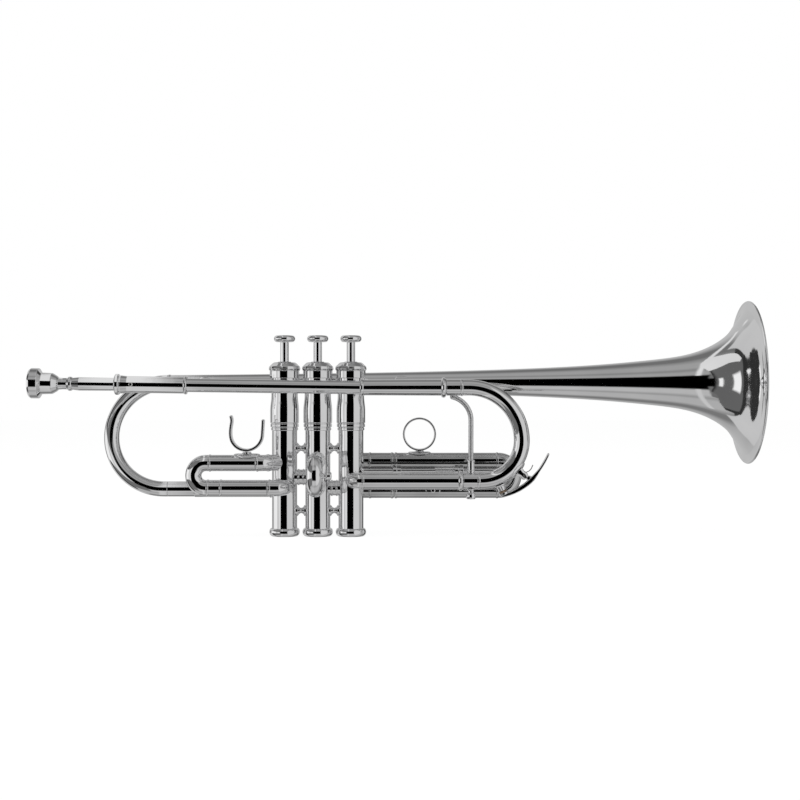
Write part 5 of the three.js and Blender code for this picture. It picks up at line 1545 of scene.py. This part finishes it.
third_low, third_high = span("third_slide_loop")
third_upper_in = span("third_slide_inner_upper")
third_lower_in = span("third_slide_inner_lower")
THIRD_Y = (third_low[1] + third_high[1]) / 2
THIRD_UPPER_Z = (third_upper_in[0][2] + third_upper_in[1][2]) / 2
THIRD_LOWER_Z = (third_lower_in[0][2] + third_lower_in[1][2]) / 2
THIRD_BOW_R = (THIRD_UPPER_Z - THIRD_LOWER_Z) / 2
THIRD_MOUTH = third_low[0] - SLIDE_GAP
THIRD_BOW_X = third_high[0] - SLEEVE_R - THIRD_BOW_R
# The third slide's fixed tubes take the silver painted darker as painted shade.
for level, z in (("upper", THIRD_UPPER_Z), ("lower", THIRD_LOWER_Z)):
    route = Route([VALVE_X[3] + 1.5, THIRD_Y - ELBOW_R, z], Y, X).arc(ELBOW_R, np.pi / 2)
    mouth = route.length + THIRD_MOUTH - route.end[0]
    route.line_to(X, third_upper_in[1][0])
    third_beads = [mouth - 18, mouth - 1.5]
    node = f"third_slide_inner_{level}"
    fixed_tube(f"third_{level}_tube", route, mouth, third_beads, node, VALVE_X[3], "painted_shade_silver")
third_loop = (
    Route([third_low[0], THIRD_Y, THIRD_UPPER_Z], X, -Z)
    .line_to(X, THIRD_BOW_X)
    .arc(THIRD_BOW_R, np.pi)
    .line_to(X, third_low[0])
)
third_straight = THIRD_BOW_X - third_low[0]
third_sleeve = third_upper_in[1][0] + 0.3 - third_low[0]
# The third slide's loop takes the silver painted darker as painted shade.
loop(
    "third_loop",
    third_loop,
    [
        1.2,
        third_straight - 1.5,
        third_loop.length - third_straight + 1.5,
        third_loop.length - 1.2,
    ],
    third_sleeve,
    third_loop.length - third_sleeve,
    "third_slide_loop",
    "painted_shade_silver",
)


# The guard plate takes the silver painted darker as painted shade, like the rear tubes.
guard = np.array([third_low[0] + 29.0, THIRD_Y, THIRD_LOWER_Z])
piece(
    saddle("guard_plate", guard, X, -Y, SLEEVE_R, 5.6, 0.42, 0.7),
    "painted_shade_silver",
    "third_slide",
)
piece(stud("guard_stud", guard - Y * (SLEEVE_R + 0.3), -Y, 1.7, 1.2), "silver", "third_slide")


def stop_rod():
    """The profile of the third slide's stop rod, with a threaded stretch and two nuts.

    The thread's ridges follow a cosine with a pitch of one millimetre.
    """
    length, rod_r, nut_r, groove_r = 108.5, 1.9, 3.4, 2.9
    thread_r, ridge = 1.55, 0.2
    s = np.linspace(58.5, 72.5, 113)
    thread = [(at, thread_r + ridge * np.cos(2 * np.pi * at), 0) for at in s]
    nut = s[-1] + 0.4
    return [
        (0, 0),
        (0, rod_r, 0.2),
        (s[0] - 0.4, rod_r, 0.2),
        *thread,
        (nut, 1.6),
        (nut, nut_r, 0.3),
        (nut + 2.8, nut_r, 0.3),
        (nut + 3.0, groove_r, 0.2),
        (nut + 3.6, groove_r, 0.2),
        (nut + 3.8, nut_r, 0.3),
        (nut + 6.6, nut_r, 0.5),
        (nut + 6.6, rod_r, 0.1),
        (length, rod_r, 0.6),
        (length, 0),
    ]


STOP_Z = 47.8
STOP_Y = THIRD_Y - 3.0
rod_start = np.array([VALVE_X[3] + 4.5, STOP_Y, STOP_Z])
piece(turned("stop_rod", rod_start, X, stop_rod(), 48, closed=False), "silver", "trumpet_body")
lug_bore_r, lug_head_r, lug_r = 2.1, 3.3, 2.9
lug = [
    (-4.6, lug_bore_r),
    (-4.6, lug_head_r, 0.6),
    (-1.6, lug_head_r, 0.6),
    (-1.2, lug_r, 0.3),
    (1.8, lug_r, 0.5),
    (1.8, lug_bore_r),
]
lug_place = [THIRD_MOUTH + 3.6, STOP_Y, STOP_Z]
piece(turned("stop_lug", lug_place, X, lug, 48), "silver", "third_slide")

# ---- Thumb hook and finger ring -----------------------------------------------------------

hook_low, hook_high = span("thumb_hook")
HOOK_X = (hook_low[0] + hook_high[0]) / 2 + 0.75
HOOK_BEND_R = (hook_high[0] - hook_low[0]) / 2 - 1.0


def thumb_hook():
    """A strip bent to an open U, whose rear arm stands higher and curls out at its end. It is
    widest half way along, by the square of a sine."""
    base = FIRST_UPPER_Z + SLEEVE_R + 0.9
    curl_r, lean_r = 9, 24
    start = np.array([HOOK_X - HOOK_BEND_R - 0.4, FIRST_Y, hook_high[2] + 0.5])
    route = (
        Route(start, X * 0.5 - Z, X)
        .arc(curl_r, -np.radians(36))
        .line(3)
        .arc(lean_r, np.radians(14))
        .line_to(Z, base + HOOK_BEND_R + 1.6)
    )
    lean = np.arctan2(route.heading[0], -route.heading[2])
    route.arc(HOOK_BEND_R, np.pi - 2 * lean + 0.02)
    route.line_to(Z, hook_high[2] - 2.3)
    closing, width, swell, thickness = 1.0, 8.4, 1.4, 2.2
    s = bar_stations(route.length, closing, 0.8)
    centre, _, side = route.at(s)
    close = end_rounding(s, route.length, closing)
    wide = close * (width + swell * np.sin(np.pi * s / route.length) ** 2)
    thick = thickness * close
    return skin("hook_strip", strip(centre, side, route.across, thick, wide, 5.0, 48), False)


stands_for(thumb_hook(), "silver", "thumb_hook")
piece(
    saddle("hook_saddle", [HOOK_X, FIRST_Y, FIRST_UPPER_Z], X, Z, SLEEVE_R, 9.8, 1.0, 1.3, 0.25),
    "silver",
    "first_slide",
)
piece(
    turned(
        "hook_foot",
        [HOOK_X, FIRST_Y, FIRST_UPPER_Z + SLEEVE_R + 0.4],
        Z,
        [(0, 0), (0, 4.6, 0.2), (0.7, 3.8, 0.5), (1.5, 3.0, 0.4), (1.8, 3.0, 0.1), (1.8, 0)],
        closed=False,
    ),
    "silver",
    "first_slide",
)

ring_low, ring_high = span("finger_ring")
RING_X = (ring_low[0] + ring_high[0]) / 2
RING_R = 12.6
RING_CENTRE = np.array([RING_X, THIRD_Y, ring_high[2] - RING_R])


def finger_ring():
    """A round band with softened edges, bellied outwards by a wide arc."""
    half, side_r, bore_side_r, bore_r = 3.4, RING_R - 0.2, RING_R - 1.3, RING_R - 1.7
    corners = [
        (-half, bore_side_r, 0.5),
        (-half, side_r, 0.4),
        (0, RING_R, 6),
        (half, side_r, 0.4),
        (half, bore_side_r, 0.5),
        (0, bore_r, 6),
    ]
    return turned("ring_band", RING_CENTRE, Y, corners, 128)


stands_for(finger_ring(), "silver", "finger_ring")
piece(
    saddle("ring_saddle", [RING_X, THIRD_Y, THIRD_UPPER_Z], X, Z, SLEEVE_R, 8.6, 0.8, 1.2, 0.25),
    "silver",
    "third_slide",
)
piece(
    turned(
        "ring_foot",
        [RING_X, THIRD_Y, THIRD_UPPER_Z + SLEEVE_R + 0.3],
        Z,
        [(0, 0), (0, 4.4, 0.2), (0.8, 3.4, 0.6), (1.8, 2.6, 0.5), (2.1, 2.6, 0.2), (2.1, 0)],
        closed=False,
    ),
    "silver",
    "third_slide",
)

# ---- Braces between the leadpipe and the bell ---------------------------------------------


def bell_brace(node, near_centre, near_axis, near_r):
    """A turned brace, and a saddle where it meets each tube. Its radius grows with the fourth
    power of the distance from its middle."""
    x = middle(node)[0]
    far = np.array([x, BELL_AXIS[1], BELL_AXIS[2]])
    direction = unit(far - near_centre)
    far_r = bell_radius(BELL_RIM_X - x)
    length = np.linalg.norm(far - near_centre) - near_r - far_r
    start = near_centre + direction * (near_r - 0.2)
    t = np.linspace(-1, 1, 21)
    reach = length / 2 - 2.2
    waist_r, swell, end_r, foot_r = 1.8, 0.7, 3.0, 3.3
    waist = [(length / 2 + reach * share, waist_r + swell * share**4, 0) for share in t]
    corners = [
        (0, 0),
        (0, foot_r, 0.3),
        (1.6, end_r, 0.5),
        *waist,
        (length - 1.2, end_r, 0.5),
        (length + 0.4, foot_r, 0.3),
        (length + 0.4, 0),
    ]
    name = node.replace("bell_brace", "cross_brace")
    stands_for(turned(name, start, direction, corners, closed=False), "silver", node)
    near_up = unit(direction - near_axis * (direction @ near_axis))
    near_foot = saddle(
        f"{name}_near_foot", near_centre, near_axis, near_up, near_r, 6.5, 0.95, 0.9, 0.3
    )
    far_foot = saddle(f"{name}_far_foot", far, X, -direction, far_r, 6.5, 0.75, 0.9, 0.3)
    piece(near_foot, "silver", BODY_OF[node])
    piece(far_foot, "silver", BODY_OF[node])


rear_x = middle("bell_brace_rear")[0]
front_x = middle("bell_brace_front")[0]
bell_brace(
    "bell_brace_rear",
    LEADPIPE_FRONT + TOWARDS_PLAYER * along_leadpipe(rear_x),
    TOWARDS_PLAYER,
    LEADPIPE_R,
)
bell_brace("bell_brace_front", np.array([front_x, UPPER_AXIS[1], UPPER_AXIS[2]]), X, SLEEVE_R)

# ---- Studio -------------------------------------------------------------------------------

VIEW_CENTRE = np.array([61.0, 0.0, 100.8])
CAMERA_DISTANCE = 1055.0
TENT_R = 2600.0
BELL_CARD_X = 185.0
FLOOR_SHARE = 0.94  # of the floor's brightness that is its own where it is looked at


def stage_object(name, mesh, material):
    """Adds a thing that is around the instrument and isn't part of it."""
    made = bpy.data.objects.new(name, mesh)
    bpy.context.scene.collection.objects.link(made)
    mesh.materials.append(material)
    return made


def seen_by_metal_only(made):
    """Hides a thing from all but reflections."""
    made.visible_camera = False
    made.visible_diffuse = False
    made.visible_transmission = False
    made.visible_shadow = False


def tent_material():
    """The tent glows by its own shade and gives no light of its own to anything matt."""
    material = bpy.data.materials.new("tent_cloth")
    material.use_nodes = True
    tree = material.node_tree
    tree.nodes.clear()
    shade = add_node(tree, "Attribute", attribute_name="shade").outputs["Fac"]
    light = add_node(tree, "Emission", {"Color": shade, "Strength": 1.0})
    tree.links.new(light.outputs[0], add_node(tree, "OutputMaterial").inputs["Surface"])
    material.cycles.emission_sampling = "NONE"
    return material


def within(value, low, high, soft=1.5):
    """One inside a range and nought outside it, with a straight slope over each edge."""
    return np.clip((value - low) / soft + 0.5, 0, 1) * np.clip((high - value) / soft + 0.5, 0, 1)


# How light the tent is at each angle over the top, and under the instrument.
OVER = np.array([
    (26, 0), (31, 0.36), (40, 0.36), (51, 0.25), (62, 0.36), (80, 0.36), (95, 0.25), (103, 0.17),
    (122, 0.17), (135, 0.35), (150, 0.5), (180, 0.55),
])
UNDER = np.array([
    (24, 0), (31, 0.5), (48, 0.5), (60, 0.33), (70, 0.46), (95, 0.46), (112, 0.2), (125, 0.2),
    (140, 0.4), (180, 0.55),
])


# Each cloth or card has a shade, and the ranges of direction that it fills. A fourth number in
# a range is the width of the slope over its edges. A later one lies over those before it.
CLOTHS = (
    (0.78, ("pitch", 27, 150), ("sideways", -17, -12.5)),
    (0.62, ("pitch", -100, -27), ("sideways", -17, -12.5)),
    (0.63, ("sideways", 24, 78), ("away", -1, 60)),
    (0.38, ("bearing", 83, 111), ("lift", -1, 35)),
    (0.05, ("bearing", 127, 150), ("lift", -1, 40)),
    (0.16, ("sideways", -95, -25), ("depth", -1.1, 0.27, 0.03), ("lift", 13, 46)),
    (0.04, ("sideways", -95, -25), ("depth", -0.05, 0.27, 0.03), ("lift", 13, 50)),
    (0.58, ("sideways", -95, -25), ("depth", 0.28, 1.1, 0.03)),
    (0.0, ("bearing", -34, -20), ("lift", -1, 13)),
    (0.75, ("bearing", -52, -34), ("lift", -1, 13)),
    (0.6, ("bearing", -66, -52), ("lift", -1, 13)),
    (0.92, ("bearing", -107, -66), ("lift", -1, 13)),
    (0.12, ("bearing", -135, -120), ("lift", -1, 12)),
)


def tent_shade(x, y, z):
    """The cloths and cards of the tent, by the direction in which they stand.

    The pitch goes over the top from the camera's side, the bearing goes round level from the
    same side towards the bell, sideways and lift are the angles off those two planes, and the
    depth is how far back a unit direction reaches.
    """
    pitch = np.degrees(np.arctan2(z, -y))
    measures = {
        "pitch": pitch,
        "away": np.abs(pitch),
        "bearing": np.degrees(np.arctan2(x, -y)),
        "sideways": np.degrees(np.arcsin(x)),
        "lift": np.abs(np.degrees(np.arcsin(z))),
        "depth": y,
    }
    away = measures["away"]
    shade = np.where(pitch > 0, np.interp(away, *OVER.T), np.interp(away, *UNDER.T))
    for value, *ranges in CLOTHS:
        share = np.prod([within(measures[name], *limits) for name, *limits in ranges], axis=0)
        shade = shade * (1 - share) + value * share
    return shade


def cloth_mesh(name, points, shade, kept=None):
    """A mesh over a grid of points in millimetres, with a shade at each. Only the faces in kept
    are made, if it is given."""
    rows, columns = points.shape[:2]
    number = np.arange(rows * columns).reshape(rows, columns)
    faces = np.stack([number[:-1, :-1], number[1:, :-1], number[1:, 1:], number[:-1, 1:]], axis=-1)
    faces = faces.reshape(-1, 4) if kept is None else faces[kept]
    mesh = bpy.data.meshes.new(name)
    mesh.from_pydata((points * MM).reshape(-1, 3), [], faces)
    shades = mesh.attributes.new("shade", "FLOAT", "POINT")
    shades.data.foreach_set("value", shade.reshape(-1).astype(np.float32))
    return mesh


def tent():
    """A tent of pale and dark cloths round the instrument, which only the metal shows.

    At pitch p over the top and angle b sideways, a point lies towards
    (sin b, -cos b cos p, cos b sin p), so that pitch 0 is the camera's side.
    """
    over = np.radians(np.linspace(-180, 180, 361))
    aside = np.radians(np.linspace(-89.5, 89.5, 180))
    pitch, sideways = np.meshgrid(over, aside, indexing="ij")
    x = np.sin(sideways)
    y = -np.cos(sideways) * np.cos(pitch)
    z = np.cos(sideways) * np.sin(pitch)
    points = VIEW_CENTRE + TENT_R * np.stack([x, y, z], axis=-1)
    mesh = cloth_mesh("tent", points, tent_shade(x, y, z))
    seen_by_metal_only(stage_object("tent", mesh, tent_material()))


tent()


def one_sided(material):
    """Makes a cloth clear from behind."""
    tree = material.node_tree
    light = next(node for node in tree.nodes if node.type == "EMISSION")
    output = next(node for node in tree.nodes if node.type == "OUTPUT_MATERIAL")
    behind = add_node(tree, "NewGeometry").outputs["Backfacing"]
    clear = add_node(tree, "BsdfTransparent")
    mix = add_node(tree, "MixShader", {0: behind, 1: light.outputs[0], 2: clear.outputs[0]})
    tree.links.new(mix.outputs[0], output.inputs["Surface"])
    return material


def flare_reflection_card():
    """A dark card before the bell, leaning a little away from it towards its near side, which
    only the flare shows: it is clear from behind.

    It is darkest along its edge nearest to the stem, two narrow panes in it are lit, and a
    white strip stands above it. All of these are painted reflections: the flare shows them as
    its dark dome, a darker ring, two glints and a bright streak above.
    """
    y, z = np.meshgrid(np.linspace(-215, 46, 262), np.linspace(-195, 420, 411), indexing="ij")
    lift = np.abs(z)
    edge = -4 + 0.55 * np.clip(lift - 33, 0, 77) - 0.4 * np.clip(lift - 110, 0, 100)
    top = 84 + 1.2 * np.clip(-22 - y, 0, 40) + 0.4 * np.clip(-62 - y, 0, 150)
    bottom = -190 + 0.62 * np.clip(-66 - y, 0, 75)
    shade = 0.13 * np.clip((y + 212) / 30, 0, 1) - 0.1 * within(y, edge - 24, edge + 9, 8)
    for low, high, tall in ((-177, -147, 42), (-92, -45, 46)):
        pane = within(y, low, high, 8) * within(z, -tall, tall, 14)
        shade = shade * (1 - pane) + 0.95 * pane
    above = within(z, top, 900, 4)
    shade = shade * (1 - above) + 0.75 * above
    dark = (z < top) & (z > bottom) & (y < edge)
    white = (z >= top) & (y < 0.1 * (z - 89)) & (z < 330 + 0.7 * (33 - y))
    kept = (dark | white)[1:, 1:]
    x = BELL_CARD_X + 0.2 * np.minimum(y + 2, 0)
    points = np.stack([x, y, z + BELL_AXIS[2]], axis=-1)
    mesh = cloth_mesh("flare_reflection_card", points, shade, kept)
    seen_by_metal_only(stage_object("flare_reflection_card", mesh, one_sided(tent_material())))


flare_reflection_card()


def rear_shadow_card():
    """A black card between the front and rear slides, which only the rear tubes show from above. It is
    a painted shadow in their reflection, where the front slides hide the light from beneath them.
    """
    ends = VALVE_X[3] + 12, THIRD_BOW_X + THIRD_BOW_R
    x, y = np.meshgrid(ends, (-10.0, 4.0), indexing="ij")
    points = np.stack([x, y, np.full_like(x, 47.0)], axis=-1)
    mesh = cloth_mesh("rear_shadow_card", points, np.zeros_like(x))
    seen_by_metal_only(stage_object("rear_shadow_card", mesh, one_sided(tent_material())))


rear_shadow_card()


def looked_out(tree):
    """A node that is one where the camera, the metal or clear things look, and nought for light."""
    path = add_node(tree, "LightPath").outputs
    direct = {0: path["Is Camera Ray"], 1: path["Is Glossy Ray"]}
    seen = add_node(tree, "Math", direct, operation="ADD")
    through = {0: seen.outputs[0], 1: path["Is Transmission Ray"]}
    return add_node(tree, "Math", through, operation="ADD")


def world():
    """White where the camera, the metal and clear things look out; a soft grey as light."""
    made = bpy.data.worlds.new("studio")
    made.use_nodes = True
    tree = made.node_tree
    tree.nodes.clear()
    seen = looked_out(tree)
    seen.use_clamp = True
    fill = add_node(tree, "Background", {"Color": (0.8, 0.8, 0.8, 1), "Strength": 0.7})
    white = add_node(tree, "Background", {"Color": (1, 1, 1, 1), "Strength": 1.0})
    mix = add_node(tree, "MixShader", {0: seen.outputs[0], 1: fill.outputs[0], 2: white.outputs[0]})
    tree.links.new(mix.outputs[0], add_node(tree, "OutputWorld").inputs["Surface"])
    return made


def floor_material():
    """A white floor that keeps most of its brightness by itself, and a little of any shadow."""
    material = bpy.data.materials.new("white_floor")
    material.use_nodes = True
    tree = material.node_tree
    tree.nodes.clear()
    seen = looked_out(tree).outputs[0]
    share = add_node(tree, "Math", {0: seen, 1: FLOOR_SHARE}, operation="MULTIPLY")
    share.use_clamp = True
    matt = add_node(tree, "BsdfDiffuse", {"Color": (0.9, 0.9, 0.9, 1)})
    white = add_node(tree, "Emission", {"Color": (1, 1, 1, 1), "Strength": 1.02})
    mix = add_node(tree, "MixShader", {0: share.outputs[0], 1: matt.outputs[0], 2: white.outputs[0]})
    tree.links.new(mix.outputs[0], add_node(tree, "OutputMaterial").inputs["Surface"])
    return material


def floor():
    """A square of floor under the instrument, twelve metres a side."""
    half = 6.0
    mesh = bpy.data.meshes.new("floor")
    corners = [(-half, -half, 0), (half, -half, 0), (half, half, 0), (-half, half, 0)]
    mesh.from_pydata(corners, [], [(0, 1, 2, 3)])
    made = stage_object("floor", mesh, floor_material())
    made.visible_glossy = False


def facing(place, target):
    """The turn that points a lamp's or camera's own -Z from a place to a target."""
    return (Vector(target) - Vector(place)).to_track_quat("-Z", "Y").to_euler()


def lamp(name, place, size, power):
    """A soft lamp that faces the instrument."""
    light = bpy.data.lights.new(name, "AREA")
    light.shape = "DISK"
    light.size = size
    light.energy = power
    made = bpy.data.objects.new(name, light)
    bpy.context.scene.collection.objects.link(made)
    made.location = place
    made.rotation_euler = facing(place, VIEW_CENTRE * MM)
    made.visible_glossy = False


def camera():
    """A camera level with the instrument, square to the plane of its valves."""
    lens = bpy.data.cameras.new("camera")
    lens.lens = 64.0
    lens.sensor_width = 36.0
    lens.clip_end = 50.0
    made = bpy.data.objects.new("camera", lens)
    bpy.context.scene.collection.objects.link(made)
    place = (VIEW_CENTRE - CAMERA_DISTANCE * Y) * MM
    made.location = place
    made.rotation_euler = facing(place, VIEW_CENTRE * MM)
    bpy.context.scene.camera = made


bpy.context.scene.world = world()
floor()
lamp("overhead_lamp", (0.1, -0.5, 1.9), 1.6, 28.0)
lamp("left_lamp", (-1.6, -1.0, 0.9), 1.2, 14.0)
camera()
bpy.context.scene.view_settings.view_transform = "Standard"
